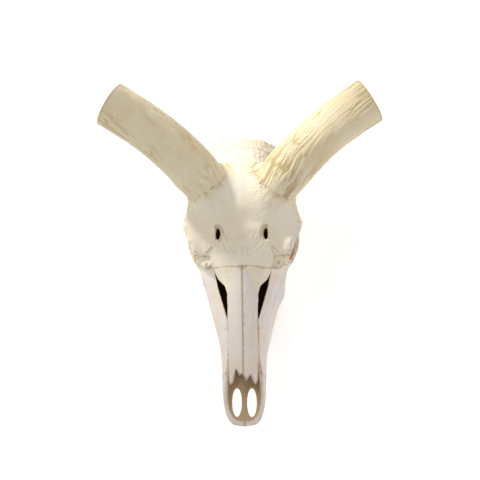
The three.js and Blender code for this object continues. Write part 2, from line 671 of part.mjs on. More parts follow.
const nasalFrontLine = [[20.3, 20], [20.3, 150], [21.4, 172], [24.6, 181.7]];
const nasalRearLine = [
  [20.3, 150], [21.4, 172], [24.6, 181.7], [29.6, 187], [34.6, 192.7], [38.4, 204], [39, 225],
];
const nasalCuts = [
  ...[nasalFrontLine, mirrored(nasalFrontLine)].map((line) => longSuture(line, 42, 190)),
  ...[nasalRearLine, mirrored(nasalRearLine)].map((line) => longSuture(line, 86, 190)),
  levelSuture([[170, 92], [230, 92]], -40, 40),
];
const [jaws, nasalPair] = parted(facial, 2, ...nasalCuts);
const midline = longSuture([[-SUTURE_GAP / 2, -20], [-SUTURE_GAP / 2, 260]], -20, 200);
const [snout, upperJaw] = parted(jaws, 1, crossSuture([[66, -10], [64, 30], [70, 60], [92, 100]]));

const CHEEK_X = 42;
const cheekTop = [[180, 82], [243, 88], [300, 102]];
const cheekEnd = [[300, 103], [303, 30]];
function cheekCuts(sign) {
  const [from, to] = sign > 0 ? [CHEEK_X, ACROSS] : [-ACROSS, -CHEEK_X];
  const inner = [[CHEEK_X, 185], [CHEEK_X, 303.4]];
  return [
    levelSuture(cheekTop, from, to),
    curtain("side", cheekEnd, [SUTURE_GAP, 0], from, to),
    longSuture(sign > 0 ? inner : mirrored(inner), 20, 96),
  ];
}
const [zygomaticLeft, withoutLeft] = parted(cranial, 0, ...cheekCuts(1)).reverse();
const [zygomaticRight, middleHead] = parted(withoutLeft, 0, ...cheekCuts(-1));

const TEAR_END_Y = 238;
const tearTop = [[190, 117], [218, 117], [230, 106], [TEAR_END_Y, 106]];
function tearCuts(sign) {
  const [from, to] = sign > 0 ? [CHEEK_X, ACROSS] : [-ACROSS, -CHEEK_X];
  const inner = [[CHEEK_X, 190], [CHEEK_X, TEAR_END_Y + SUTURE_GAP]];
  return [
    curtain("side", tearTop, [0, SUTURE_GAP * 1.5], from, to),
    longSuture(sign > 0 ? inner : mirrored(inner), 70, 117 + SUTURE_GAP),
    curtain("side", [[TEAR_END_Y, 106 + SUTURE_GAP], [TEAR_END_Y, 70]], [SUTURE_GAP, 0], from, to),
  ];
}
const [lacrimalLeft, withoutTear] = parted(middleHead, 0, ...tearCuts(1)).reverse();
const [lacrimalRight, head] = parted(withoutTear, 0, ...tearCuts(-1));

const crownSuture = crossSuture([[352, 210], [345, 150], [330, 120], [300, 80], [290, 20]]);
const [front, rear] = parted(head, 1, crownSuture);
const [pterygoid, frontal] = parted(front, 2, levelSuture([[190, 66], [360, 66]], -ACROSS, ACROSS));
const napeSuture = crossSuture([[382, 160], [372, 100], [360, 72], [351, 58], [348, -10]]);
const [middleCase, occipital] = parted(rear, 1, napeSuture);
const [lowerCase, parietal] = parted(middleCase, 2, levelSuture([[270, 88], [400, 88]], -ACROSS, ACROSS));
const earLine = [[21, 270], [21, 400]];
const [temporalRight, lowerRest] = parted(lowerCase, 0, longSuture(mirrored(earLine), 0, 100));
const [sphenoid, temporalLeft] = parted(lowerRest, 0, longSuture(earLine, 0, 100));

const [nasalRight, nasalLeft] = parted(nasalPair, 0, midline);
const [premaxillaRight, premaxillaLeft] = parted(snout, 0, midline);
const [maxillaRight, maxillaLeft] = parted(upperJaw, 0, midline);
const teethLeft = toothRow();
const withTeeth = (bone, teeth) => largest(teeth.reduce((jaw, crown) => jaw.add(crown), bone));

// Bleached bone: warmer on the horn cores, paler on the face
const BONE = { frontal: 0xe9dfc8, face: 0xeadfd2, horn: 0xe3d3ac };
const bone = (color, roughness) => new THREE.MeshStandardMaterial({ color, roughness, metalness: 0 });
const skullGroup = new THREE.Group();
function add(name, solid, color, roughness = 0.75) {
  const mesh = new THREE.Mesh(geometryOf(solid), bone(color, roughness));
  mesh.name = name;
  skullGroup.add(mesh);
}

const horn = hornCore();
add("horn_core_left", horn, BONE.horn, 0.85);
add("horn_core_right", otherSide(horn), BONE.horn, 0.85);
add("nasal_left", nasalLeft, BONE.face);
add("nasal_right", nasalRight, BONE.face);
add("premaxilla_left", premaxillaLeft, BONE.face);
add("premaxilla_right", premaxillaRight, BONE.face);
add("maxilla_left", withTeeth(maxillaLeft, teethLeft), BONE.face);
add("maxilla_right", withTeeth(maxillaRight, teethLeft.map(otherSide)), BONE.face);
add("zygomatic_left", zygomaticLeft, BONE.face);
add("zygomatic_right", zygomaticRight, BONE.face);
add("lacrimal_left", lacrimalLeft, BONE.face);
add("lacrimal_right", lacrimalRight, BONE.face);
add("frontal", frontal, BONE.frontal);
add("pterygoid", pterygoid, BONE.frontal);
add("parietal", parietal, BONE.frontal);
add("temporal_left", temporalLeft, BONE.frontal);
add("temporal_right", temporalRight, BONE.frontal);
add("sphenoid", sphenoid, BONE.frontal);
add("occipital", occipital, BONE.frontal);

// The origin is on the table under the middle of the skull's length.
skullGroup.position.y = -MIDDLE_Y;

export default skullGroup;
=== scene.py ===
"""Kudu skull: its bones, sawn horn cores and cheek teeth, laid out as on a museum table."""

import functools
import math

import bpy
import numpy as np
import openvdb
from mathutils import Matrix, Vector


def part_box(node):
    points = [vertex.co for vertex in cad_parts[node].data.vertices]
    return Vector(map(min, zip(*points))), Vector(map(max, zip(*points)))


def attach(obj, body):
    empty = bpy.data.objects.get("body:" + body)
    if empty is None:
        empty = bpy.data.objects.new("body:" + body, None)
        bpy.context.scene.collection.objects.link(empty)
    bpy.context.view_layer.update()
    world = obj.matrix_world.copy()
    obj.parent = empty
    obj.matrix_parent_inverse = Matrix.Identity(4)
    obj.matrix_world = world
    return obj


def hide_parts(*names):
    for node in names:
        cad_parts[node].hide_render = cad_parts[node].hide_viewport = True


bl_info = {
    "name": "Kudu Skull",
    "version": (1, 0, 0),
    "blender": (4, 5, 0),
    "location": "View3D > Sidebar > Kudu Skull",
    "description": "Builds a kudu skull with sawn horn cores around its packed solids",
    "category": "Add Mesh",
}

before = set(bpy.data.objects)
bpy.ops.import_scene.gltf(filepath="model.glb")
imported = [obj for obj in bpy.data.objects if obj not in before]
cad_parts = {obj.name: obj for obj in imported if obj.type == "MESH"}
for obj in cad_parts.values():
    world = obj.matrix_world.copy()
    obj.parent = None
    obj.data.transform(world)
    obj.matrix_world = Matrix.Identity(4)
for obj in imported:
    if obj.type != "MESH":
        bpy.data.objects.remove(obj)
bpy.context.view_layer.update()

# Forms are in millimetres; stations along the head run back from the tip of the snout.
MILLIMETRES = 1000
MIDDLE_Y = 212.2
ORIGIN = np.array([0, MIDDLE_Y, 0])
STEP = 0.9
TEETH_STEP = 0.55
GRID_LOW = np.array([-102.6, -8.1, -2.7])
GRID_COUNT = (229, 458, 216)
GRID_SLAB = 10
FAR = 80


# Soft curves, distances and noise


def curve(*stations):
    """A smooth line through (station, value) pairs, level beyond its ends."""
    at, value = np.array(stations, float).T
    before = np.maximum(np.arange(len(at)) - 1, 0)
    after = np.minimum(np.arange(len(at)) + 1, len(at) - 1)
    slope = (value[after] - value[before]) / (at[after] - at[before])

    def read(where):
        where = np.clip(where, at[0], at[-1])
        i = np.clip(np.searchsorted(at, where, side="right") - 1, 0, len(at) - 2)
        span = at[i + 1] - at[i]
        t = (where - at[i]) / span
        rise = t * t * (3 - 2 * t)
        start = value[i] + slope[i] * span * t * (1 - t) ** 2
        end = slope[i + 1] * span * t * t * (t - 1)
        return (start + end + (value[i + 1] - value[i]) * rise).astype(np.float32)

    return read


def line(*points):
    """A broken line through (station, value) pairs."""
    at, value = np.array(points, float).T
    return lambda where: np.interp(where, at, value).astype(np.float32)


def ramp(value, low, high):
    """0 below low, 1 above high and smooth between."""
    t = np.clip((value - low) / (high - low), 0, 1)
    return t * t * (3 - 2 * t)


def blend(a, b, soft):
    near = np.maximum(soft - np.abs(a - b), 0) / soft
    return np.minimum(a, b) - near * near * (soft / 4)


def meet(a, b, soft):
    return -blend(-a, -b, soft)


def carve(a, b, soft):
    return meet(a, -b, soft)


def bar(x, y, z, a, b, ra, rb, tall=0.0):
    """Distance to a bar from a to b, its radius running from ra to rb, stretched upright by tall."""
    u = [b[i] - a[i] for i in range(3)]
    along = (x - a[0]) * u[0] + (y - a[1]) * u[1] + (z - a[2]) * u[2]
    t = np.clip(along / (u[0] ** 2 + u[1] ** 2 + u[2] ** 2), 0, 1)
    dx = x - a[0] - u[0] * t
    dy = y - a[1] - u[1] * t
    rise = z - a[2] - u[2] * t
    dz = rise - np.clip(rise, -tall, tall)
    return np.sqrt(dx * dx + dy * dy + dz * dz) - (ra + (rb - ra) * t)


def chain(x, y, z, knots, tall=0.0):
    """Distance to bars through (x, y, z, radius) knots."""
    bars = [bar(x, y, z, a, b, a[3], b[3], tall) for a, b in zip(knots, knots[1:])]
    return functools.reduce(np.minimum, bars)


def ellipsoid(x, y, z, centre, radii):
    p = [(v - c) / r for v, c, r in zip((x, y, z), centre, radii)]
    near = np.sqrt(p[0] ** 2 + p[1] ** 2 + p[2] ** 2)
    slope = np.sqrt(sum((v / r) ** 2 for v, r in zip(p, radii)))
    return near * (near - 1) / np.maximum(slope, 1e-6)


def block(x, y, z, centre, half, soft, last_soft):
    """Distance to a rounded block of the given half sizes."""
    dx, dy, dz = (np.abs(v - c) - h for v, c, h in zip((x, y, z), centre, half))
    return meet(dx, meet(dy, dz, soft), last_soft)


def edge(x, z, xa, za, xb, zb):
    """Distance in a cross-section to the line through two points, positive on the left of its run."""
    return ((za - zb) * (x - xa) + (xb - xa) * (z - za)) / np.hypot(xb - xa, zb - za)


def scatter(cell, seed):
    """A repeatable number from 0 to 1 for each lattice cell; the large numbers only mix its bits."""
    h = cell[..., 0] * 374761393 + cell[..., 1] * 668265263 + cell[..., 2] * 1440662683 + seed * 974634777
    h = ((h ^ (h >> 13)) * 1274126177) & 0x7FFFFFFF
    h = ((h ^ (h >> 16)) * 668265263) & 0x7FFFFFFF
    return ((h ^ (h >> 15)) & 0xFFFF) / 65535.0


def noise(points, size, seed=0):
    """Smooth noise from -1 to 1 with cells of the given size, one number or one for each axis."""
    p = points / np.asarray(size, float)
    cell = np.floor(p).astype(np.int64)
    t = p - cell
    t = t * t * t * (t * (t * 6 - 15) + 10)
    total = np.zeros(len(points))
    for corner in range(8):
        bits = np.array([corner & 1, corner >> 1 & 1, corner >> 2])
        weight = np.prod(np.where(bits, t, 1 - t), axis=1)
        total += weight * scatter(cell + bits, seed)
    return 2 * total - 1


def rough(points, size, seed=0, octaves=3):
    """Several layers of noise, each half the size and strength of the last."""
    layers = [noise(points, np.asarray(size) * 0.5**k, seed + 31 * k) * 0.5**k for k in range(octaves)]
    return sum(layers) / 1.5


def pits(points, size, share, seed=0):
    """Round pits scattered one to a cell: 1 at the middle of a pit, 0 outside."""
    p = points / size
    cell = np.floor(p).astype(np.int64)
    deepest = np.zeros(len(points))
    for corner in np.ndindex(3, 3, 3):
        near = cell + np.array(corner) - 1
        centre = near + 0.2 + 0.6 * np.stack([scatter(near, seed + k) for k in range(3)], axis=1)
        radius = 0.22 + 0.3 * scatter(near, seed + 5)
        there = scatter(near, seed + 7) < share
        reach = 1 - np.sum((p - centre) ** 2, axis=1) / radius**2
        deepest = np.maximum(deepest, np.where(there, reach, 0))
    return deepest


# Outlines of the skull by station

OUTLINES = {
    "top": curve((0, 30), (53, 73), (100, 88), (150, 105), (206, 125), (243, 136), (285, 149),
                 (312, 152), (335, 147), (355, 134), (375, 116), (392, 97)),
    "nasal": curve((0, 19.5), (150, 20), (185, 23), (206, 31), (240, 36)),
    "cheek": curve((-2, 10), (5, 21), (15, 27), (35, 31), (60, 32), (95, 33.5), (130, 40),
                   (165, 49), (198, 58), (225, 60), (255, 46)),
    "cheek_z": curve((0, 22), (35, 27), (60, 32), (95, 38), (130, 42), (165, 45), (198, 50), (240, 60)),
    "gum": curve((0, 14), (15, 23), (35, 27), (60, 28), (95, 29), (118, 35), (165, 47), (198, 53),
                 (228, 51), (250, 42)),
    "gum_z": curve((0, 17), (35, 20), (60, 23), (95, 24), (116, 18), (130, 16), (226, 16), (250, 38)),
    "palate": curve((0, 20), (60, 26), (118, 30), (165, 33), (228, 34), (250, 46)),
    "aperture": curve((0, 29), (15, 31), (35, 39), (55, 51), (75, 65), (92, 82), (105, 110), (120, 150)),
    "brow": curve((186, 22), (204, 38), (212, 48), (219, 56), (226, 63), (235, 68.5), (242, 72), (252, 77),
                  (261, 80), (270, 79), (285, 74), (305, 64), (330, 50)),
    "brow_z": curve((186, 108), (204, 113), (216, 116), (244, 122), (257, 124), (285, 125),
                    (305, 126), (330, 122)),
    "brow_drop": curve((186, 7), (204, 5), (230, 3)),
    "case": curve((280, 30), (300, 40), (325, 46), (350, 47.5), (375, 47.5), (392, 45)),
    "case_z": curve((280, 50), (320, 40), (360, 34), (392, 32)),
}
BACK_OF_HEAD = curve((30, 383), (60, 385), (80, 389), (97, 394))
BROW_FRONT = curve((0, 187), (30, 200), (38, 206), (43, 219), (47, 221), (58, 216), (66, 221), (76, 236))
NASAL_TIP_LEFT = line((0, 65), (0.8, 64), (3.7, 56.5), (9.2, 66), (14, 55), (16.2, 53), (18, 56), (20, 62),
                      (23, 64))
NASAL_TIP_RIGHT = line((0, 65), (2.8, 67), (5.3, 64), (9.7, 74), (13.6, 56), (17, 53), (20, 54), (21.5, 62),
                       (23, 64))
GAP_INNER = line((139, 20.4), (160, 20.6), (172, 21), (181.7, 24), (187, 29), (192.7, 34), (202, 38))
GAP_OUTER = line((139, 21), (160, 27.2), (181.7, 33.6), (192.7, 36), (203, 38.6))
GAP_ENDS = (139.5, 203)
GAP_LOW_Z = 70

# Driving sizes of the face
WALL = 5.5
NASAL_DROP = 7.0
NASAL_END_Y = 206
FLOOR_THICKNESS = 8.0
FLANK_OUT = 0.64
FLANK_DOWN = 0.42
FACE_END_Y = 252
CAVITY_END_Y = 212
VOMER = {"front": 70, "end": 205, "height": 24, "half_width": 2}
INCISIVE_WINDOW = {"x": 10.4, "y": 33, "half_width": 6.8, "half_length": 19.5}
THROAT = ((0, 196, 56), (0, 292, 54), 10.5, 10.5, 5)

# Driving sizes of brow and braincase
BROW_THICKNESS = 11.0
BROW_END_Y = 340
BROW_CORE = ((0, 254, 82), (27, 50, 36))
CASE_FRONT_Y = 276
CASE_WIDEST_Z = 82
CASE_BEND = 0.62
CASE_DROP = 0.14
CASE_FOOT = 0.6

# Bars as ends and radii, chains of bars as (x, y, z, radius) knots, ellipsoids as centres and radii
ORBIT = {"x": 66.0, "y": 243.0, "z": 92.0, "radius": 27.0, "rim": 4.5, "turn": 0.3}
SOCKET_REACH = 20
SOCKET_MOUTH = 22.5
SOCKET = ((58, 246, 92, 24), (37, 256, 88, 15))
PEDICLE = ((34, 288, 120, 27), (47, 312, 141, 30.5), (68, 336, 157, 31))
CREST = ((0, 389, 95, 5.5), (28, 389, 90, 5.5), (44, 384, 78, 5), (49, 369, 56, 5))
CONDYLE = ((18.5, 388, 37), (11, 12, 16))
JUGULAR = ((40, 368, 52), (38, 363, 4), 10, 5.5)
CORD_HOLE = ((0, 412, 49), (0, 362, 47), 12.5, 12.5)
BASAL_ROD = ((0, 382, 37, 10), (0, 300, 45, 11), (0, 246, 68, 12))
EAR_BULB = ((27, 335, 33), (9.5, 14, 15))
EAR_TUBE = ((36, 350, 52), (56, 354, 58), 7, 6.5)
JAW_SOCKET = ((48, 339, 60), (14, 12, 8))
PTERYGOID_BLADE = ((14.5, 259, 45), (2.6, 26, 19))
KNOB = ((45, 212.5, 104), (11, 9, 8))
JUGAL = ((48, 200, 58, 9), (51, 214, 61, 8.5), (61.5, 230, 65, 9.5), (68.5, 246, 66, 8.5), (70, 272, 71, 7))
POSTORBITAL = ((71, 262, 116, 7), (72.5, 272, 95, 5.5), (70, 273, 72, 6))
ZYGOMA = ((69, 274, 70, 5), (67, 303, 67, 4.5), (61, 330, 68, 4.5), (50, 346, 66, 8))
LOBE_GROOVE = ((70, 227, 117, 2.2), (58, 215, 115, 2.6), (46, 222, 119, 2.4), (40, 230, 124, 1.2))
BROW_FUNNEL = ((34, 246, 137), (9, 12, 8.5))
BROW_FUNNEL_X = 34.5
BROW_HOLE = ((32.2, 247, 126), (2.8, 7.5, 18))

# Stations between which each form can reach the bone; elsewhere the grid skips it
REACH = {
    "brow": (170, 500), "braincase": (255, 500), "pedicle": (230, 385), "base": (220, 500),
    "occiput": (330, 500), "face": (-50, 268), "nasals": (45, 212), "cheekbone": (178, 372),
    "gaps": (130, 212), "brow_pit": (225, 270),
}


def arch(side, z, top, half_width, drop):
    return (z - top + drop * (side / half_width) ** 2) * 0.88


def face_block(side, y, z, o):
    """The long face as if it were solid."""
    shoulder = o["top"] - NASAL_DROP
    roof = arch(side, z, o["top"], o["nasal"], NASAL_DROP)
    flank = o["nasal"] + (o["cheek"] - o["nasal"]) * FLANK_OUT
    flank_z = shoulder - (shoulder - o["cheek_z"]) * FLANK_DOWN
    upper = edge(side, z, o["nasal"], shoulder, flank, flank_z)
    wall = meet(upper, edge(side, z, flank, flank_z, o["cheek"], o["cheek_z"]), 6)
    jaw = edge(side, z, o["cheek"], o["cheek_z"], o["gum"], o["gum_z"])
    palate = edge(side, z, o["gum"], o["gum_z"], 0, o["palate"])
    outer = meet(meet(roof, wall, 4), meet(jaw, palate, 4), 6)
    return meet(outer, meet(-y, y - FACE_END_Y, 1), 8)


def face(side, y, z, o):
    """The face hollowed to two thin walls and a palate round the open nasal cavity."""
    outer = face_block(side, y, z, o)
    opened = meet(outer, (z - o["aperture"]) * 0.8, 3)
    floor = o["palate"] + FLOOR_THICKNESS
    cavity = meet(meet(outer + WALL, floor - z, 4), y - CAVITY_END_Y, 8)
    bone = carve(carve(opened, cavity, 2), bar(side, y, z, *THROAT), 3)
    leaf = INCISIVE_WINDOW
    round_leaf = np.hypot((side - leaf["x"]) / leaf["half_width"], (y - leaf["y"]) / leaf["half_length"])
    bone = carve(bone, (round_leaf - 1) * leaf["half_width"], 1.5)
    ends = meet(VOMER["front"] + (z - floor) * 0.9 - y, y - VOMER["end"], 2)
    vomer = meet(side - VOMER["half_width"], meet(z - floor - VOMER["height"], ends, 2), 1)
    return np.minimum(bone, meet(vomer, floor - 4 - z, 1))


def nasals(x, y, z, o):
    """The paired nasal bones, a thin arched roof with notched tips."""
    side = np.abs(x)
    roof = arch(side, z, o["top"], o["nasal"], NASAL_DROP)
    front = np.where(x > 0, NASAL_TIP_LEFT(side), NASAL_TIP_RIGHT(side))
    plate = meet(roof, -roof - WALL, 1.5)
    plan = meet(side - o["nasal"], meet((front - y) * 0.35, y - NASAL_END_Y, 0.6), 0.6)
    return meet(plate, plan, 1)


def brow(side, y, z, o):
    """The brow plate over the orbits and the solid core between them."""
    bend = o["brow"] * 0.5
    crown = arch(side, z, o["top"], bend, o["brow_drop"])
    slope = edge(side, z, bend, o["top"] - o["brow_drop"], o["brow"], o["brow_z"])
    plate = meet(meet(crown, slope, 8), (side - o["brow"]) * 0.8, 4)
    plate = meet(plate, o["brow_z"] - BROW_THICKNESS - z, 5)
    plate = meet(plate, meet(BROW_FRONT(side) - y, y - BROW_END_Y, 1), 5)
    return blend(plate, block(side, y, z, *BROW_CORE, 14, 14), 10)


def braincase(side, y, z, o):
    w = o["case"]
    bend, drop = CASE_BEND * w, CASE_DROP * w
    crown = arch(side, z, o["top"], bend, drop)
    temple = edge(side, z, bend, o["top"] - drop, w, CASE_WIDEST_Z)
    cheek = edge(side, z, w, CASE_WIDEST_Z, CASE_FOOT * w, o["case_z"])
    vault = meet(meet(crown, temple, 14), meet(cheek, o["case_z"] - z, 12), 10)
    vault = meet(vault, CASE_FRONT_Y - y, 10)
    return meet(vault, (y - BACK_OF_HEAD(z)) * 0.96, 6)


def occiput(d, side, y, z):
    """Crest, condyles, the hole for the spinal cord and the jugular processes."""
    d = blend(d, chain(side, y, z, CREST), 7)
    d = blend(d, ellipsoid(side, y, z, *CONDYLE), 5)
    d = blend(d, bar(side, y, z, *JUGULAR), 9)
    return carve(d, bar(side, y, z, *CORD_HOLE), 2)


def base(d, side, y, z):
    """Basal rod, ear bulbs, ear tubes, jaw sockets and the two pterygoid blades."""
    d = blend(d, chain(side * 0.8, y, z, BASAL_ROD), 8)
    d = blend(d, ellipsoid(side, y, z, *EAR_BULB), 4)
    d = blend(d, bar(side, y, z, *EAR_TUBE), 4)
    d = blend(d, ellipsoid(side, y, z, *JAW_SOCKET), 6)
    return blend(d, block(side, y, z, *PTERYGOID_BLADE, 6, 2), 4)


def orbit_socket(side, y, z):
    out = SOCKET_REACH * math.cos(ORBIT["turn"])
    ahead = SOCKET_REACH * math.sin(ORBIT["turn"])
    mouth = (ORBIT["x"] + out, ORBIT["y"] - ahead, ORBIT["z"], SOCKET_MOUTH)
    return chain(side, y, z, (mouth, *SOCKET))


def cheekbone(d, side, y, z):
    """Orbit ring, the knob before the brow, cheekbone and the arch back to the ear."""
    turn = ORBIT["turn"]
    reach = (side - ORBIT["x"]) * math.cos(turn) - (y - ORBIT["y"]) * math.sin(turn)
    around = (side - ORBIT["x"]) ** 2 + (y - ORBIT["y"]) ** 2 + (z - ORBIT["z"]) ** 2
    spread = np.sqrt(np.maximum(around - reach * reach, 0))
    d = blend(d, np.hypot(spread - ORBIT["radius"], reach) - ORBIT["rim"], 8)
    d = blend(d, ellipsoid(side, y, z, *KNOB), 5)
    d = blend(d, chain(side, y, z, JUGAL), 8)
    d = blend(d, chain(side, y, z, POSTORBITAL), 6)
    d = blend(d, chain(side, y, z, ZYGOMA, 4), 5)
    d = carve(d, chain(side, y, z, LOBE_GROOVE), 1.6)
    return carve(d, orbit_socket(side, y, z), 4)


def brow_pit(d, side, y, z):
    """The funnel beside each brow and the hole at its steep outer side."""
    funnel = meet(ellipsoid(side, y, z, *BROW_FUNNEL), side - BROW_FUNNEL_X, 1)
    return carve(carve(d, funnel, 1.5), ellipsoid(side, y, z, *BROW_HOLE), 0.8)


def side_gap(side, y, z):
    """Distance to the long opening beside each nasal bone."""
    across = np.maximum(GAP_INNER(y) - side, side - GAP_OUTER(y))
    front, end = GAP_ENDS
    return np.maximum(across, np.maximum(np.maximum(front - y, y - end), GAP_LOW_Z - z))


def skull_field(x, y, z):
    """Distance to the whole bone, without teeth and with the horn cores' stumps left long."""
    o = {name: read(y) for name, read in OUTLINES.items()}
    side = np.abs(x)
    front, back = y.min(), y.max()
    here = {form for form, (first, last) in REACH.items() if back > first and front < last}
    d = np.full(np.broadcast_shapes(x.shape, y.shape, z.shape), FAR, np.float32)
    if "brow" in here:
        d = brow(side, y, z, o)
    if "braincase" in here:
        d = blend(d, braincase(side, y, z, o), 12)
    if "pedicle" in here:
        d = blend(d, chain(side, y, z, PEDICLE), 16)
    if "base" in here:
        d = base(d, side, y, z)
    if "occiput" in here:
        d = occiput(d, side, y, z)
    if "face" in here:
        d = blend(d, face(side, y, z, o), 10)
    if "nasals" in here:
        d = np.minimum(d, nasals(x, y, z, o))
    if "cheekbone" in here:
        d = cheekbone(d, side, y, z)
    if "gaps" in here:
        d = carve(d, side_gap(side, y, z), 0.8)
    if "brow_pit" in here:
        d = brow_pit(d, side, y, z)
    return np.maximum(d, -z)


@functools.lru_cache(maxsize=1)
def bone_grid():
    """The skull's distances on one grid over the whole head."""
    x, y, z = grid_axes(GRID_LOW, STEP, GRID_COUNT)
    starts = range(0, GRID_COUNT[1], GRID_SLAB)
    slabs = [skull_field(x, y[:, j : j + GRID_SLAB], z).astype(np.float32) for j in starts]
    return np.concatenate(slabs, axis=1)


def grid_axes(low, step, count):
    """The three coordinates of a grid, shaped to be combined."""
    axes = [(low[i] + step * np.arange(count[i])).astype(np.float32) for i in range(3)]
    return axes[0].reshape(-1, 1, 1), axes[1].reshape(1, -1, 1), axes[2].reshape(1, 1, -1)


def read_grid(grid, low, points):
    """The grid's value at points, read between its nearest eight samples."""
    p = (points - low) / STEP
    cell = np.clip(np.floor(p).astype(int), 0, np.array(grid.shape) - 2)
    t = np.clip(p - cell, 0, 1)
    total = np.zeros(len(points))
    for corner in range(8):
        bits = np.array([corner & 1, corner >> 1 & 1, corner >> 2])
        weight = np.prod(np.where(bits, t, 1 - t), axis=1)
        at = cell + bits
        total += weight * grid[at[:, 0], at[:, 1], at[:, 2]]
    return total


def slope_of(grid, low, points):
    """The grid's gradient at points."""
    reach = STEP / 2
    rises = []
    for axis in np.eye(3):
        ahead = read_grid(grid, low, points + reach * axis)
        rises.append(ahead - read_grid(grid, low, points - reach * axis))
    return np.stack(rises, axis=1) / (2 * reach)


# Sutures: where one bone ends and the next begins

FACE_LINE = line((-10, 240), (40, 236), (90, 212), (112, 204), (190, 201))
NASAL_LINE = line((20, 20.3), (150, 20.3), (172, 21.4), (181.7, 24.6), (187, 29.6), (192.7, 34.6),
                  (204, 38.4), (225, 39))
NASAL_ROOM = line((90, 14), (120, 27))
SNOUT_LINE = line((-10, 66), (30, 64), (60, 70), (100, 92))
CHEEK_TOP = line((180, 82), (243, 88), (300, 102))
CHEEK_END = line((30, 303), (103, 300))
TEAR_TOP = line((190, 117), (218, 117), (230, 106), (238, 106))
CROWN_LINE = line((20, 290), (80, 300), (120, 330), (150, 345), (210, 352))
NAPE_LINE = line((-10, 348), (58, 351), (72, 360), (100, 372), (160, 382))
NASAL_FRONT_Y = 48
CHEEK_X = 42.0
TEAR_END_Y = 238.0
EAR_X = 21.0
TEMPLE_Z = 88
BASE_Z = 66


def waver(values, size, strength, seed):
    """A wandering offset along one line of stations."""
    flat = np.asarray(values, float).ravel()
    points = np.stack([flat, np.full(len(flat), 0.5), np.full(len(flat), 0.5)], axis=1)
    return (strength * rough(points, size, seed, 2)).reshape(np.shape(values)).astype(np.float32)


def bone_regions(x, y, z):
    """For each kind of bone, a distance that is negative inside its own part of the head."""
    side = np.abs(x)
    cross = waver(x, 9, 1.6, 11)
    along = waver(y, 12, 0.9, 12)
    facial = (y - FACE_LINE(z) + cross) * 0.92
    roof = np.maximum(side - NASAL_LINE(y) + along * 0.4, OUTLINES["top"](y) - NASAL_ROOM(y) - z)
    roof = np.maximum(roof, NASAL_FRONT_Y - y)
    jaws = np.maximum(facial, -roof)
    snout = (y - SNOUT_LINE(z) + cross * 0.6) * 0.85
    outer = np.maximum(-facial, CHEEK_X - side)
    cheek = np.maximum(outer, np.maximum(z - CHEEK_TOP(y) + along, y - CHEEK_END(z)))
    tear = np.maximum(outer, np.maximum(CHEEK_TOP(y) - along - z, z - TEAR_TOP(y)))
    tear = np.maximum(tear, y - TEAR_END_Y)
    rear = (CROWN_LINE(z) - y + cross) * 0.8
    head = np.maximum(np.maximum(-facial, -cheek), -tear)
    nape = (NAPE_LINE(z) - y + cross) * 0.9
    middle = np.maximum(head, np.maximum(rear, -nape))
    return {
        "nasal": np.maximum(facial, roof),
        "premaxilla": np.maximum(jaws, snout),
        "maxilla": np.maximum(jaws, -snout),
        "zygomatic": cheek,
        "lacrimal": tear,
        "frontal": np.maximum(np.maximum(head, -rear), BASE_Z - z),
        "pterygoid": np.maximum(np.maximum(head, -rear), z - BASE_Z),
        "parietal": np.maximum(middle, TEMPLE_Z - z),
        "temporal": np.maximum(middle, np.maximum(z - TEMPLE_Z, EAR_X - side)),
        "sphenoid": np.maximum(middle, np.maximum(z - TEMPLE_Z, side - EAR_X)),
        "occipital": np.maximum(rear, nape),
    }


# Horn cores

HORN_AXIS = ((25, 282, 116), (40, 303.5, 135), (72.5, 338.3, 160), (96, 357.6, 177), (125, 375.6, 198),
             (154, 389.4, 219), (170.7, 396.7, 231))
HORN_HALF_WIDTH = 31.3
HORN_HALF_DEPTH = 32.0
HORN_TAPER = 0.06
HORN_START = 0.22
HORN_SUNK = 5.0
HORN_SPEED = 323.0
ROOT_LENGTH = 36.0
ROOT_BULGE = 1.22
ROOT_SEARCH = (16.0, 60)
STUMP_LENGTH = 12.0
STUMP_REACH = 44.0
HORN_RINGS = 280
HORN_SIDES = 264
CAP_RINGS = 33
SAW_UPRIGHT = np.array([0, -0.26, 0.97])
SAW_FROM = 0.7
CUT_FROM = 0.5


def horn_frame(t):
    """Centre, tangent and the two directions of the left horn core's cross-section at t."""
    stations = np.arange(len(HORN_AXIS)) / (len(HORN_AXIS) - 1)
    axes = [curve(*zip(stations, values)) for values in zip(*HORN_AXIS)]
    read = lambda at: np.stack([axis(np.asarray(at)) for axis in axes], axis=-1).astype(float)
    centre = read(t)
    tangent = read(np.minimum(t + 0.004, 1)) - read(np.maximum(t - 0.004, 0))
    tangent /= np.linalg.norm(tangent, axis=-1, keepdims=True)
    depth = SAW_UPRIGHT - tangent * (tangent @ SAW_UPRIGHT)[..., None]
    depth /= np.linalg.norm(depth, axis=-1, keepdims=True)
    return centre, tangent, depth, np.cross(depth, tangent)


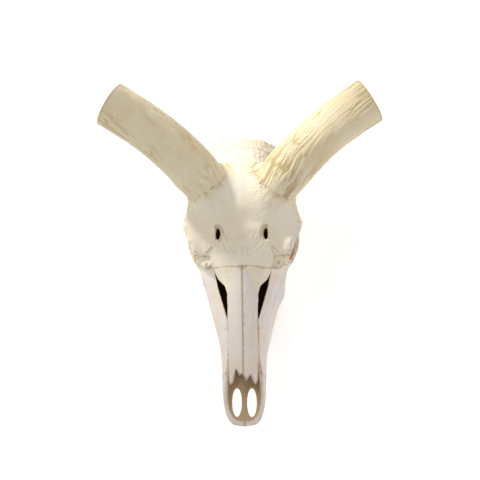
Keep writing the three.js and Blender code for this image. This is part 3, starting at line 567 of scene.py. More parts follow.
@functools.lru_cache(maxsize=1)
def horn_rings():
    """The left horn core as rings: its smooth radii, which near the root follow the pedicle's surface."""
    t = np.linspace(HORN_START - HORN_SUNK / HORN_SPEED, 1, HORN_RINGS)
    angle = np.linspace(0, 2 * np.pi, HORN_SIDES, endpoint=False)
    centre, tangent, depth, across = horn_frame(t)
    along = np.concatenate([[0], np.cumsum(np.linalg.norm(np.diff(centre, axis=0), axis=1))]) - HORN_SUNK
    ring = np.cos(angle)[None, :, None] * across[:, None] * HORN_HALF_WIDTH
    ring = ring + np.sin(angle)[None, :, None] * depth[:, None] * HORN_HALF_DEPTH
    taper = 0.16 * (t - 0.72) ** 2 - HORN_TAPER * (t - HORN_START)
    girth = 1 + taper[:, None] + 0.035 * np.maximum(np.cos(angle - 2.2), 0)[None] ** 4
    ray = ring / np.linalg.norm(ring, axis=2, keepdims=True)
    own = np.linalg.norm(ring, axis=2) * girth
    near = along < ROOT_LENGTH
    rays = ray[near].reshape(-1, 3)
    origin = np.repeat(centre[near], HORN_SIDES, axis=0)
    inside, steps = ROOT_SEARCH
    reach = np.full(len(rays), inside)
    for _ in range(steps):
        d = read_grid(bone_grid(), GRID_LOW, origin + rays * reach[:, None])
        reach = np.where(d < -0.02, reach + np.clip(-d, 0.02, 1.5), reach)
    reach = np.minimum(reach.reshape(-1, HORN_SIDES), ROOT_BULGE * own[near])
    short = np.maximum(own[near] - reach, 0) * ramp(along[near], -2, 28)[:, None]
    proud = np.maximum(reach - own[near], 0) * ramp(along[near], 22, ROOT_LENGTH)[:, None]
    radius = own.copy()
    radius[near] = reach + short - proud
    return {"t": t, "angle": angle, "along": along, "centre": centre, "tangent": tangent, "depth": depth,
            "across": across, "ray": ray, "radius": radius}


def horn_place(side, y, z):
    """Distance past the horn core's root plane, angle round its axis and distance from it."""
    h = horn_rings()
    root = np.searchsorted(h["along"], 0)
    tangent, centre = h["tangent"][root], h["centre"][root]
    past = (side - centre[0]) * tangent[0] + (y - centre[1]) * tangent[1] + (z - centre[2]) * tangent[2]
    middle = [np.interp(past, h["along"], h["centre"][:, k]) for k in range(3)]
    out = (side - middle[0], y - middle[1], z - middle[2])
    a = sum(o * w for o, w in zip(out, h["across"][root]))
    b = sum(o * w for o, w in zip(out, h["depth"][root]))
    return past, np.arctan2(b / HORN_HALF_DEPTH, a / HORN_HALF_WIDTH), np.hypot(a, b)


def horn_room(side, y, z):
    """Negative where the horn core takes over from its pedicle."""
    h = horn_rings()
    past, angle, radial = horn_place(side, y, z)
    row = np.clip(np.interp(past, h["along"], np.arange(HORN_RINGS)), 0, HORN_RINGS - 1.001)
    column = (angle % (2 * np.pi)) / (2 * np.pi) * HORN_SIDES
    i, j = row.astype(int), column.astype(int) % HORN_SIDES
    u, v = row - i, column - np.floor(column)
    k = (j + 1) % HORN_SIDES
    table = h["radius"]
    lower = table[i, j] * (1 - v) + table[i, k] * v
    upper = table[i + 1, j] * (1 - v) + table[i + 1, k] * v
    core = radial - lower * (1 - u) - upper * u
    stump = np.maximum(STUMP_LENGTH - past, radial - STUMP_REACH)
    return np.maximum(-HORN_SUNK - past, np.minimum(core, stump)).astype(np.float32)


# How far the furrows turn round a core, in radians for each millimetre
HORN_TWIST = 0.005

# Furrows of the two horn cores: seed, spacing, depth of the long furrows, depth of the fine grain
HORN_SKIN = {1: (300, 4.4, 1.1, 0.24), -1: (400, 3.6, 0.6, 0.2)}


def furrows(angle, along, sign, scale):
    """Relief of a horn core's skin in millimetres and how deep in a furrow each point lies."""
    seed, size, depth, grain = HORN_SKIN[sign]
    turn = angle + along * HORN_TWIST
    drum = np.stack([HORN_HALF_DEPTH * np.cos(turn), HORN_HALF_DEPTH * np.sin(turn), along], axis=1)
    wander = drum + 1.5 * np.stack([rough(drum, (10, 10, 30), seed + k) for k in range(3)], axis=1)
    cells = (size, size, size * 10)
    long = [np.clip(1 - np.abs(noise(wander, cells, seed + k)) * 3.6, 0, 1) for k in (5, 15)]
    small = np.clip(1 - np.abs(noise(wander, (size * 0.6, size * 0.6, size * 5), seed + 6)) * 3.0, 0, 1)
    deep = 0.4 + 0.7 * ramp(rough(drum, (24, 24, 60), seed + 9), -0.4, 0.5)
    gouges = pits(wander * np.array([1, 1, 0.35]), 4.6, 0.4, seed + 11) * ramp(44 - along, 0, 34)
    furrow = np.clip(np.maximum(np.maximum(*long), 0.6 * small) * deep + 0.5 * gouges, 0, 1)
    relief = -depth * scale * furrow + grain * noise(wander, (1.7, 1.7, 18), seed + 7)
    return relief + 0.45 * rough(drum, 26, seed + 10), furrow


# Meshes


def surface(grid, step):
    """Points in grid steps and quads of the zero surface, facing out."""
    band = 3 * step
    volume = openvdb.FloatGrid(band)
    volume.copyFromArray(np.clip(grid, -band, band))
    points, quads = volume.convertToQuads(isovalue=0)
    return points.astype(float), quads[:, ::-1].astype(np.int64)


def keep_largest(points, quads):
    """Only the largest connected piece of a surface."""
    label = np.arange(len(points))
    while True:
        lowest = label[quads].min(axis=1)
        fresh = label.copy()
        np.minimum.at(fresh, quads.ravel(), np.repeat(lowest, 4))
        fresh = fresh[fresh]
        if np.array_equal(fresh, label):
            break
        label = fresh
    names, sizes = np.unique(label[quads[:, 0]], return_counts=True)
    kept = quads[label[quads[:, 0]] == names[sizes.argmax()]]
    used, index = np.unique(kept, return_inverse=True)
    return points[used], index.reshape(-1, 4)


def normals_of(points, quads):
    face = np.cross(points[quads[:, 2]] - points[quads[:, 0]], points[quads[:, 3]] - points[quads[:, 1]])
    total = [np.bincount(quads.ravel(), np.repeat(face[:, k], 4), len(points)) for k in range(3)]
    return unit(np.stack(total, axis=1))


def unit(vectors):
    return vectors / np.maximum(np.linalg.norm(vectors, axis=-1, keepdims=True), 1e-9)


def hollows(points, quads, rounds, strength):
    """How deep each point lies below its evened-out surroundings, from 0 to 1."""
    a = np.concatenate([quads[:, k] for k in range(4)])
    b = np.concatenate([quads[:, (k + 1) % 4] for k in range(4)])
    degree = np.maximum(np.bincount(a, minlength=len(points)), 1)
    level = points
    for _ in range(rounds):
        level = np.stack([np.bincount(a, column[b], len(points)) / degree for column in level.T], axis=1)
    return np.clip(np.einsum("ij,ij->i", level - points, normals_of(points, quads)) * strength, 0, 1)


SHARP_ANGLE = math.radians(62)


def mesh_piece(name, points, quads, attributes, material, node=None):
    """A smooth piece in the frame's metres with its attributes, riding on the skull."""
    mesh = bpy.data.meshes.new(name)
    mesh.vertices.add(len(points))
    mesh.loops.add(quads.size)
    mesh.polygons.add(len(quads))
    place = (points - ORIGIN) / MILLIMETRES
    mesh.vertices.foreach_set("co", place.astype(np.float32).ravel())
    mesh.loops.foreach_set("vertex_index", quads.astype(np.int32).ravel())
    mesh.polygons.foreach_set("loop_start", np.arange(0, quads.size, 4, dtype=np.int32))
    mesh.polygons.foreach_set("use_smooth", np.ones(len(quads), bool))
    for key, values in attributes.items():
        layer = mesh.attributes.new(key, "FLOAT", "POINT")
        layer.data.foreach_set("value", np.asarray(values, np.float32))
    mesh.update(calc_edges=True)
    mesh.validate()
    mesh.set_sharp_from_angle(angle=SHARP_ANGLE)
    mesh.materials.append(material)
    piece = bpy.data.objects.new(name, mesh)
    bpy.context.scene.collection.objects.link(piece)
    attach(piece, "root")
    if node:
        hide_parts(node)
    return piece


# Shaders


class Wire:
    """A shader socket that takes part in Python expressions."""

    def __init__(self, tree, socket):
        self.tree = tree
        self.socket = socket

    def node(self, kind, settings=None, out=0, **inputs):
        """A node of the given type, its settings made first, with values or wires on its sockets."""
        made = self.tree.nodes.new(kind)
        for key, value in (settings or {}).items():
            setattr(made, key, value)
        for key, value in inputs.items():
            index = int(key[1:]) if key[0] == "_" else key.replace("_", " ")
            if isinstance(value, Wire):
                self.tree.links.new(value.socket, made.inputs[index])
            else:
                made.inputs[index].default_value = value
        return Wire(self.tree, made.outputs[out])

    def maths(self, operation, a, b=0.0):
        return self.node("ShaderNodeMath", {"operation": operation}, _0=a, _1=b)

    def __add__(self, other):
        return self.maths("ADD", self, other)

    def __sub__(self, other):
        return self.maths("SUBTRACT", self, other)

    def __mul__(self, other):
        return self.maths("MULTIPLY", self, other)

    __radd__ = __add__
    __rmul__ = __mul__

    def span(self, low, high):
        """0 at low, 1 at high and smooth between."""
        settings = {"interpolation_type": "SMOOTHSTEP"}
        return self.node("ShaderNodeMapRange", settings, _0=self, _1=low, _2=high)

    def mix(self, a, b):
        """Colour a where this is 0 and colour b where it is 1."""
        return self.node("ShaderNodeMix", {"data_type": "RGBA"}, out=2, _0=self, _6=a, _7=b)


class Finish:
    """One material under way: its tree, shader and the wires that feed it."""

    def __init__(self, name):
        self.material = bpy.data.materials.new(name)
        self.material.use_nodes = True
        self.tree = self.material.node_tree
        self.shader = self.tree.nodes["Principled BSDF"]
        self.start = Wire(self.tree, None)

    def attribute(self, name):
        return self.start.node("ShaderNodeAttribute", {"attribute_name": name}, out=2)

    def place(self):
        return self.start.node("ShaderNodeTexCoord", out=3)

    def noise(self, place, scale, detail=3.0, roughness=0.55):
        look = {"Scale": scale, "Detail": detail, "Roughness": roughness}
        return self.start.node("ShaderNodeTexNoise", Vector=place, **look)

    def stretched(self, place, scale):
        return self.start.node("ShaderNodeMapping", Vector=place, Scale=scale)

    def bump(self, height, strength, distance):
        return self.start.node("ShaderNodeBump", Strength=strength, Distance=distance, Height=height)

    def set(self, **values):
        for key, value in values.items():
            socket = self.shader.inputs[key.replace("_", " ")]
            if isinstance(value, Wire):
                self.tree.links.new(value.socket, socket)
            else:
                socket.default_value = value
        return self.material


def rgb(colour):
    """A colour property as a shader's colour."""
    return (*colour, 1.0)


def bone_finish(name, colours):
    """Bleached bone: chalky on the face, creamier behind, brown in its sutures, with dirt and painted shade
    in its crevices and painted shade inside the nose and brow holes.
    """
    m = Finish(name)
    place = m.place()
    cloud = m.noise(place, 24, 4).span(0.36, 0.66)
    fleck = m.noise(place, 190, 4, 0.62)
    cranium = cloud.mix(rgb(colours.bone_pale), rgb(colours.bone_warm))
    face = cloud.mix(rgb(colours.face_pale), rgb(colours.face_warm))
    horn = cloud.mix(rgb(colours.horn_pale), rgb(colours.horn_warm))
    colour = m.attribute("horny").mix(m.attribute("fore").mix(cranium, face), horn)
    colour = (fleck.span(0.52, 0.8) * 0.22).mix(colour, rgb(colours.bone_grey))
    # Dirt and painted shade: the bone turns brown where the crevice measure says it lies below its
    # surroundings
    dirt_and_shade = (m.attribute("crevice_dirt_and_shade") * 1.3 + fleck * 0.4 - 0.3).span(0.1, 1.0)
    colour = (dirt_and_shade * 0.7).mix(colour, rgb(colours.crevice_dirt_and_shade))
    stain = m.attribute("ochre") * (0.6 + 0.8 * m.noise(place, 120, 3))
    colour = stain.span(0.1, 1.0).mix(colour, rgb(colours.ochre))
    suture = (m.attribute("seam") * (0.5 + 1.0 * m.noise(place, 230, 2))).span(0.15, 0.85)
    colour = (suture * 0.8).mix(colour, rgb(colours.suture))
    # Painted shade inside the nose and the brow holes: tan bone in painted shade near the mouth of the nose,
    # dark painted shade deeper in
    hollow = m.attribute("hollow")
    colour = hollow.span(0.05, 0.6).mix(colour, rgb(colours.hollow))
    colour = hollow.span(0.55, 1.0).mix(colour, rgb(colours.deep))
    grain = m.noise(place, 650, 4, 0.6) * 0.6 + m.noise(m.stretched(place, (1, 0.22, 1)), 900, 2) * 0.4
    return m.set(
        Base_Color=colour,
        Roughness=0.62 + 0.18 * fleck,
        Normal=m.bump(grain, 0.35, 0.0006),
        Specular_IOR_Level=0.3,
    )


def horn_finish(name, colours):
    """Porous horn core: cream ridges and ochre-brown furrows, their brown partly dirt and partly painted
    shade.
    """
    m = Finish(name)
    place = m.place()
    cloud = m.noise(place, 20, 4).span(0.36, 0.66)
    fleck = m.noise(place, 240, 4, 0.62)
    colour = cloud.mix(rgb(colours.horn_pale), rgb(colours.horn_warm))
    colour = (fleck.span(0.5, 0.78) * 0.22).mix(colour, rgb(colours.bone_grey))
    # Dirt and painted shade: the deeper a point lies in a furrow or pore, the browner
    groove = (m.attribute("crevice_dirt_and_shade") + fleck * 0.3 - 0.22).span(0.15, 1.0)
    colour = (groove * 0.75).mix(colour, rgb(colours.furrow))
    stain = m.attribute("ochre") * (0.5 + m.noise(place, 90, 3))
    colour = stain.span(0.2, 1.0).mix(colour, rgb(colours.ochre))
    colour = m.attribute("cut").mix(colour, rgb(colours.saw_cut))
    return m.set(
        Base_Color=colour,
        Roughness=0.68 + 0.18 * fleck,
        Normal=m.bump(m.noise(place, 700, 4, 0.65), 0.4, 0.0007),
        Specular_IOR_Level=0.28,
    )


def tooth_finish(name, colours):
    """Worn cheek teeth: ivory enamel over brown dentine, stained near the gum."""
    m = Finish(name)
    fleck = m.noise(m.stretched(m.place(), (1, 1, 0.3)), 260, 4)
    dentine = m.attribute("dentine")
    colour = fleck.span(0.3, 0.8).mix(rgb(colours.enamel), rgb(colours.enamel_stain))
    colour = dentine.mix(colour, rgb(colours.dentine))
    # Dirt and painted shade in the grooves between the lobes
    groove = (m.attribute("crevice_dirt_and_shade") + fleck * 0.3).span(0.2, 0.9)
    return m.set(
        Base_Color=groove.mix(colour, rgb(colours.tooth_groove_dirt_and_shade)),
        Roughness=0.32 + 0.3 * dentine,
        Normal=m.bump(fleck, 0.25, 0.0004),
        Specular_IOR_Level=0.5,
    )


def paper_finish(name, colour, glow):
    m = Finish(name)
    grain = m.noise(m.place(), 60, 3)
    return m.set(
        Base_Color=rgb(colour),
        Roughness=0.8 + 0.1 * grain,
        Normal=m.bump(grain, 0.03, 0.001),
        Specular_IOR_Level=0.1,
        Emission_Color=rgb(colour),
        Emission_Strength=glow,
    )


# Bones

# Bones that interlock with their neighbours; the others keep a hair's gap at their sutures
LAPPED = ("frontal", "parietal", "occipital", "nasal", "maxilla", "premaxilla", "lacrimal")
SUTURE_GAP = 0.05
BOX_MARGIN = 14
EDGE_REACH = 0.55

# Half-width of the nasal bones where they run up between the two halves of the brow
NASAL_ROOT = line((171.5, 20.6), (175, 16.5), (185, 12), (193, 8), (205, 4))

# Stained sutures and cracks seen from above: points (x, station), half-width, strength
STAIN_LINES = (
    (((0.2, 204), (-0.4, 180), (0.4, 160), (-0.1, 140), (0.5, 120), (-0.2, 100), (0.3, 66)), 0.9, 0.85),
    (((20.3, 141), (20.7, 125), (21.2, 110), (21.5, 95), (22.2, 82), (22.8, 70)), 1.0, 1.0),
    (((-20.3, 141), (-20.6, 125), (-20.4, 100), (-20.8, 78)), 0.8, 0.7),
    (((-20.6, 171.5), (-16.5, 175), (-12, 185), (-8, 193), (-5, 201)), 0.8, 0.3),
    (((-5, 201), (-3.4, 205), (-2.2, 199), (0.2, 204), (2.2, 199), (3.8, 205), (5.4, 201)), 0.8, 0.8),
    (((5.4, 201), (8, 193), (12, 185), (16.5, 175), (20.6, 171.5)), 0.8, 0.45),
    (((-27, 131), (-24.5, 126.5), (-20.4, 126)), 0.9, 0.7),
    (((-25.5, 124), (-23, 127.5)), 0.8, 0.6),
    (((20.8, 124), (24, 128), (28.5, 130)), 0.9, 0.6),
    (((22.6, 74), (27, 75), (30, 72)), 0.8, 0.5),
    (((-21, 80), (-25, 78), (-26, 70)), 0.8, 0.4),
)


def stain_lines(points):
    """How strongly a stained suture or crack marks each point, from 0 to 1."""
    x, y = points[:, 0], points[:, 1]
    x = x + 0.5 * noise(points, 3.1, 61)
    strongest = np.zeros(len(points))
    for knots, half_width, strength in STAIN_LINES:
        for a, b in zip(knots, knots[1:]):
            u, v = b[0] - a[0], b[1] - a[1]
            t = np.clip(((x - a[0]) * u + (y - a[1]) * v) / (u * u + v * v), 0, 1)
            away = np.hypot(x - a[0] - u * t, y - a[1] - v * t)
            strongest = np.maximum(strongest, strength * np.clip(1 - away / half_width, 0, 1))
    return strongest


def within(mask, points, texture):
    """A texture of the points times the mask, worked out only where the mask is not zero."""
    result = np.zeros(len(points))
    near = mask > 0
    if near.any():
        result[near] = mask[near] * texture(points[near])
    return result


# Where each texture of the bone fades in or out: stations, or distances from the skull's middle
PORES_FROM = (200, 225)
SPONGE_FROM = (346, 358)
SPONGE_RIGHT = (-34, -20)
SPONGE_LEFT = 8
WRINKLES_FROM = (344, 356)
WRINKLES_LEFT = (8, 20)
RIBS_FROM = (214, 224)
RIBS_UNTIL = (240, 252)
RIBS_HALF_WIDTH = 34
RIBS_START_Y = 200
TRACKS_FROM = (266, 280)
TRACKS_INNER = (12, 22)
TRACKS_OUTER = (40, 52)
RIM_BAND = (-9, -1)
RIM_FROM = (205, 212)
RIM_UNTIL = (292, 305)
KNOB_MIDDLE = (46, 214, 106)
KNOB_REACH = 14
STREAKS_UNTIL = (196, 212)
SWELLING = {"y": 181, "z": 46, "radius": 15, "height": 4.0}
SWELLING_LEFT = (35, 44)
BORDER_FADE = (-19, -6)
BORDER_REACH = 46

# Height or depth of each texture
RELIEF = {
    "waves": 0.3, "unevenness": 0.14, "pores": 0.75, "sponge": 0.8, "wrinkles": 0.5, "ribs": 0.55,
    "tracks": 0.6, "rim": 0.8, "streaks": 0.45, "face_pores": 0.45, "stains": 0.8,
}


def wrinkles(points):
    bent = points + 2 * rough(points, 9, 28)[:, None]
    return noise(bent, (3.0, 9, 9), 23)


def rays(points):
    """Fine ribs that spread back from the root of the nose."""
    spread = np.arctan2(points[:, 0], points[:, 1] - RIBS_START_Y) * 70
    return noise(np.stack([spread, points[:, 1], points[:, 2]], axis=1), (2.6, 16, 16), 24)


def worm_tracks(points):
    return np.clip(1 - np.abs(noise(points, 3.6, 25)) * 3.2, 0, 1)


def bone_relief(points, normals, hollow, stains):
    """How far each point of the bone stands in or out of its smooth form, in millimetres."""
    x, y, z = points.T
    side = np.abs(x)
    up = ramp(normals[:, 2], 0.1, 0.5)
    out = RELIEF["waves"] * rough(points, 24, 3) + RELIEF["unevenness"] * rough(points, 6, 4)
    pored = ramp(y, *PORES_FROM) * ramp(rough(points, 22, 22), -0.15, 0.45)
    out -= RELIEF["pores"] * within(pored, points, lambda p: pits(p, 4.0, 0.42, 21))
    spongy = ramp(y, *SPONGE_FROM) * ramp(x, *SPONGE_RIGHT) * ramp(SPONGE_LEFT - x, 0, 14)
    out -= RELIEF["sponge"] * within(spongy, points, lambda p: pits(p, 5.2, 0.5, 20))
    wrinkled = ramp(y, *WRINKLES_FROM) * ramp(x, *WRINKLES_LEFT)
    out += RELIEF["wrinkles"] * within(wrinkled, points, wrinkles)
    ribbed = ramp(y, *RIBS_FROM) * (1 - ramp(y, *RIBS_UNTIL)) * up * ramp(RIBS_HALF_WIDTH - side, 0, 8)
    out += RELIEF["ribs"] * within(ribbed, points, rays)
    tracked = ramp(y, *TRACKS_FROM) * up * ramp(side, *TRACKS_INNER) * (1 - ramp(side, *TRACKS_OUTER))
    out -= RELIEF["tracks"] * within(tracked, points, worm_tracks)
    rim = ramp(side - OUTLINES["brow"](y), *RIM_BAND) * ramp(y, *RIM_FROM) * (1 - ramp(y, *RIM_UNTIL))
    out += RELIEF["rim"] * within(rim, points, lambda p: rough(p, 5, 29))
    off_knob = [v - c for v, c in zip((side, y, z), KNOB_MIDDLE)]
    knob = ramp(KNOB_REACH - np.hypot(np.hypot(off_knob[0], off_knob[1]), off_knob[2]), 0, 6)
    out += within(knob, points, lambda p: rough(p, 4.4, 30))
    front = 1 - ramp(y, *STREAKS_UNTIL)
    out += RELIEF["streaks"] * within(front * (1 - hollow), points, lambda p: noise(p, (7, 46, 9), 26))
    out -= RELIEF["face_pores"] * within(front, points, lambda p: pits(p, 3.4, 0.32, 27))
    far = np.hypot(y - SWELLING["y"], z - SWELLING["z"]) / SWELLING["radius"]
    swelling = np.exp(-(far**2)) * ramp(x, *SWELLING_LEFT)
    return out + SWELLING["height"] * swelling - RELIEF["stains"] * stains


def horn_border(points):
    """Where each horn core's skin runs on over the brow: its relief, depth in a furrow and strength."""
    relief, furrow = np.zeros(len(points)), np.zeros(len(points))
    scale = bpy.context.scene.skull_sizes.furrow_scale
    past, angle, radial = horn_place(np.abs(points[:, 0]), points[:, 1], points[:, 2])
    fade = ramp(past + 5 * rough(points, 9, 71), *BORDER_FADE) * ramp(BORDER_REACH - radial, 0, 6)
    for sign in (1, -1):
        near = (fade > 0) & (points[:, 0] * sign > 0)
        if near.any():
            skin, depth = furrows(angle[near], past[near], sign, scale)
            relief[near] = skin * fade[near]
            furrow[near] = depth * fade[near]
    return relief, furrow, fade


def sharpened(points, whole, region, low):
    """Points near the edge of a suture, moved on to that edge."""
    off_both = [np.abs(read_grid(grid, low, points)) for grid in (whole, region)]
    near = np.maximum(*off_both) < EDGE_REACH
    moved = points[near]
    for _ in range(3):
        off = np.stack([read_grid(whole, low, moved), read_grid(region, low, moved)], axis=1)
        slopes = np.stack([slope_of(whole, low, moved), slope_of(region, low, moved)], axis=1)
        square = slopes @ slopes.transpose(0, 2, 1) + 0.02 * np.eye(2)
        shift = np.einsum("nij,ni->nj", slopes, np.linalg.solve(square, off[..., None])[..., 0])
        length = np.linalg.norm(shift, axis=1, keepdims=True)
        moved = moved - shift * np.minimum(1, 0.4 / np.maximum(length, 1e-6))
    points = points.copy()
    points[near] = moved
    return points


def bone_share(kind, sign, node):
    """The grid round one bone: its low corner, the whole skull's field and the bone's own region."""
    low, high = (np.array(corner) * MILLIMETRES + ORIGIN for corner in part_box(node))
    first = np.clip(np.floor((low - BOX_MARGIN - GRID_LOW) / STEP).astype(int), 0, None)
    last = np.minimum(np.ceil((high + BOX_MARGIN - GRID_LOW) / STEP).astype(int) + 1, GRID_COUNT)
    corner = GRID_LOW + STEP * first
    x, y, z = grid_axes(corner, STEP, last - first)
    half_lap = bpy.context.scene.skull_sizes.suture_lap * MILLIMETRES / 2
    lap = half_lap if kind in LAPPED else -SUTURE_GAP
    region = bone_regions(x, y, z)[kind] - lap
    if sign:
        region = np.maximum(region, -lap - sign * x)
    if kind in ("frontal", "parietal"):
        region = np.maximum(region, -lap - horn_room(np.abs(x), y, z))
    whole = bone_grid()[tuple(slice(a, b) for a, b in zip(first, last))]
    return corner, whole, np.broadcast_to(region, whole.shape)


# Where the bone takes painted shade in the nose and the brow holes, stains and ochre, or turns creamier:
# depths, heights, distances from the middle and stations
NOSE_SHADE_DEPTH = (2.6, 5)
NOSE_SHADE_END_Y = 214
NOSE_SHADE_DEEPENS = (70, 125)
HOLE_SHADE_EDGE = (0.2, 1.4)
HOLE_SHADE_TOP_Z = 135
STAIN_RISE = (26, 32)
SOCKET_SKIN = 2.4
SOCKET_EDGE_X = 76
CREAM_FROM = (196, 214)
SHOULDER_FROM = (168, 174)


def bone_marks(points, normals):
    """How far each point lies in painted shade inside the nose and brow hole, on a stained suture and in the
    rusty orbit, from 0 to 1.
    """
    x, y, z = points.T
    side = np.abs(x)
    o = {key: read(y) for key, read in OUTLINES.items()}
    above = z - o["palate"]
    # Painted shade in the nose cavity, darker further back under the nasal bones
    nose = ramp(-face_block(side, y, z, o), *NOSE_SHADE_DEPTH) * ramp(NOSE_SHADE_END_Y - y, 0, 8) * ramp(above, 2, 7)
    nose = nose * (0.5 + 0.5 * ramp(y, *NOSE_SHADE_DEEPENS))
    # Painted shade in the deep hole beside each brow
    hole = (1 - ramp(ellipsoid(side, y, z, *BROW_HOLE), *HOLE_SHADE_EDGE)) * ramp(HOLE_SHADE_TOP_Z - z, 0, 8)
    stains = stain_lines(points) * ramp(normals[:, 2], 0.2, 0.5)
    stains = stains * ramp(above, *STAIN_RISE) * (1 - nose)
    socket = ramp(SOCKET_SKIN - np.abs(orbit_socket(side, y, z)), 0, 1.5) * ramp(SOCKET_EDGE_X - side, 0, 12)
    return np.maximum(nose, hole), stains, socket


def chalky(smooth, points):
    """1 on the chalky face and 0 on the creamier bone behind it."""
    side, y = np.abs(smooth[:, 0]), smooth[:, 1]
    behind = ramp(y + 3 * rough(points, 14, 73), *CREAM_FROM)
    shoulder = ramp(side - NASAL_ROOT(y), -1, 2) * ramp(GAP_INNER(y) + 1 - side, 0, 1)
    return 1 - np.maximum(behind, shoulder * ramp(y, *SHOULDER_FROM))


def bone_piece(kind, sign, name, node, material):
    """One bone: its share of the field, meshed, roughened and given its stains and painted shade."""
    corner, whole, region = bone_share(kind, sign, node)
    points, quads = keep_largest(*surface(np.maximum(whole, region), STEP))
    if (points < 1).any() or (points > np.array(whole.shape) - 2).any():
        raise RuntimeError(f"{name} runs out of its box")
    smooth = sharpened(corner + STEP * points, whole, region, corner)
    normals = unit(slope_of(whole, corner, smooth))
    buried = ramp(np.abs(read_grid(whole, corner, smooth)), 0.35, 1.2)
    hollow, stains, socket = bone_marks(smooth, normals)
    border, furrow, horny = horn_border(smooth)
    strength = bpy.context.scene.skull_sizes.bone_relief
    relief = (bone_relief(smooth, normals, hollow, stains) * strength + border) * (1 - buried)
    points = smooth + normals * relief[:, None]
    points[:, 2] = np.maximum(points[:, 2], 0)
    attributes = {
        # Dirt and painted shade in the crevices
        "crevice_dirt_and_shade": np.maximum(hollows(points, quads, 8, 1.6), 0.7 * furrow) * (1 - buried),
        # Painted shade inside the nose and the brow holes
        "hollow": hollow,
        "seam": stains,
        "ochre": socket,
        "fore": chalky(smooth, points),
        "horny": horny,
    }
    return mesh_piece(name, points, quads, attributes, material, node)


# Sizes and colours


def colour_property(label, text, default):
    return bpy.props.FloatVectorProperty(
        name=label, description=text, subtype="COLOR", size=3, min=0, max=1, default=default
    )


def number_property(label, text, default, **kind):
    return bpy.props.FloatProperty(name=label, description=text, default=default, **kind)


class SkullColours(bpy.types.PropertyGroup):
    """Colours of bone, horn core and teeth."""

    bone_pale: colour_property("Pale bone", "Bleached bone of the braincase", (0.90, 0.82, 0.69))
    bone_warm: colour_property("Warm bone", "Yellower patches of the braincase", (0.87, 0.77, 0.58))
    bone_grey: colour_property("Grey bone", "Weathered flecks", (0.60, 0.54, 0.47))
    face_pale: colour_property("Pale face bone", "Chalky bone of the face", (0.85, 0.77, 0.71))
    face_warm: colour_property("Warm face bone", "Warmer patches of the face", (0.84, 0.72, 0.60))
    # Colour of the dirt and painted shade in the bone's crevices
    crevice_dirt_and_shade: colour_property("Crevice", "Dirt in the hollows of the bone", (0.42, 0.30, 0.17))
    suture: colour_property("Suture", "Orange-brown lines between bones", (0.42, 0.20, 0.07))
    ochre: colour_property("Ochre stain", "Rusty stains", (0.55, 0.32, 0.12))
    # Tan bone inside the nose with painted shade on it
    hollow: colour_property("Nasal floor", "Tan bone inside the nose", (0.52, 0.38, 0.21))
    # Painted shade: the darkest inside of the nose and of the brow holes
    deep: colour_property("Deep hollow", "Dark bone deep inside", (0.2, 0.105, 0.06))
    horn_pale: colour_property("Pale horn core", "Ridges of the horn cores", (0.85, 0.75, 0.53))
    horn_warm: colour_property("Warm horn core", "Yellower patches of the horn cores", (0.80, 0.67, 0.43))
    # Dirt and painted shade in the furrows of the horn cores
    furrow: colour_property("Furrow", "Ochre-brown furrows of the horn cores", (0.42, 0.29, 0.12))
    saw_cut: colour_property("Saw cut", "Spongy bone at the sawn ends", (0.66, 0.45, 0.20))
    enamel: colour_property("Enamel", "Ivory enamel", (0.74, 0.66, 0.52))
    enamel_stain: colour_property("Stained enamel", "Tea-coloured stains", (0.48, 0.35, 0.20))
    dentine: colour_property("Dentine", "Worn brown dentine", (0.30, 0.19, 0.10))
    # Dirt and painted shade in the grooves of the teeth
    tooth_groove_dirt_and_shade: colour_property("Tooth groove", "Dark grooves between lobes", (0.14, 0.09, 0.05))


class SkullSizes(bpy.types.PropertyGroup):
    """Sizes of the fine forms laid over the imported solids."""

    suture_lap: number_property("Suture lap", "How far bones interlock at a suture", 0.0005, unit="LENGTH")
    bone_relief: number_property("Bone relief", "Strength of the bones' fine relief", 1.0, subtype="FACTOR")
    furrow_scale: number_property("Furrow depth", "Strength of the cores' furrows", 1.0, subtype="FACTOR")
    core_cut: number_property("Core cut", "How much bone the saw took off each core", 0.005, unit="LENGTH")
    sponge_depth: number_property("Sponge depth", "Depth of the pores in the saw cuts", 0.0026, unit="LENGTH")


class SkullStage(bpy.types.PropertyGroup):
    """Camera, light and floor."""

    camera_height: number_property(
        "Camera height", "Angle of the view above the floor", math.radians(75), subtype="ANGLE"
    )
    camera_distance: number_property("Camera distance", "From the camera to the skull", 1.4, unit="LENGTH")
    view_width: number_property("View width", "Width of the picture at the skull", 0.662, unit="LENGTH")
    key_power: number_property("Key light", "Power of the spot on the brow", 78, unit="POWER")
    second_power: number_property("Second light", "Strength of the light above", 0.5)
    side_power: number_property("Side light", "Strength of the cool side light", 0.25)
    fill_power: number_property("Fill light", "Strength of the white surround", 0.5)
    floor_glow: number_property("Floor glow", "Light given off by the floor", 0.55)
    floor_colour: colour_property("Floor", "Colour of the floor", (0.9, 0.9, 0.9))


class BuildOperator(bpy.types.Operator):
    """Shared settings of the skull's operators."""

    bl_options = {"REGISTER", "UNDO"}


HANDS = ((1, "left"), (-1, "right"))


class SKULL_OT_cranium(BuildOperator):
    """Frontal bone, parietal, temporals, sphenoid, pterygoid and occipital"""

    bl_idname = "skull.cranium"
    bl_label = "Cranium"

    def execute(self, context):
        colours = context.scene.skull_colours
        material = bone_finish("cranium_bone", colours)
        for kind in ("frontal", "parietal", "sphenoid", "pterygoid", "occipital"):
            bone_piece(kind, 0, f"{kind}_bone", kind, material)
        for sign, hand in HANDS:
            bone_piece("temporal", sign, f"{hand}_temporal", f"temporal_{hand}", material)
        return {"FINISHED"}


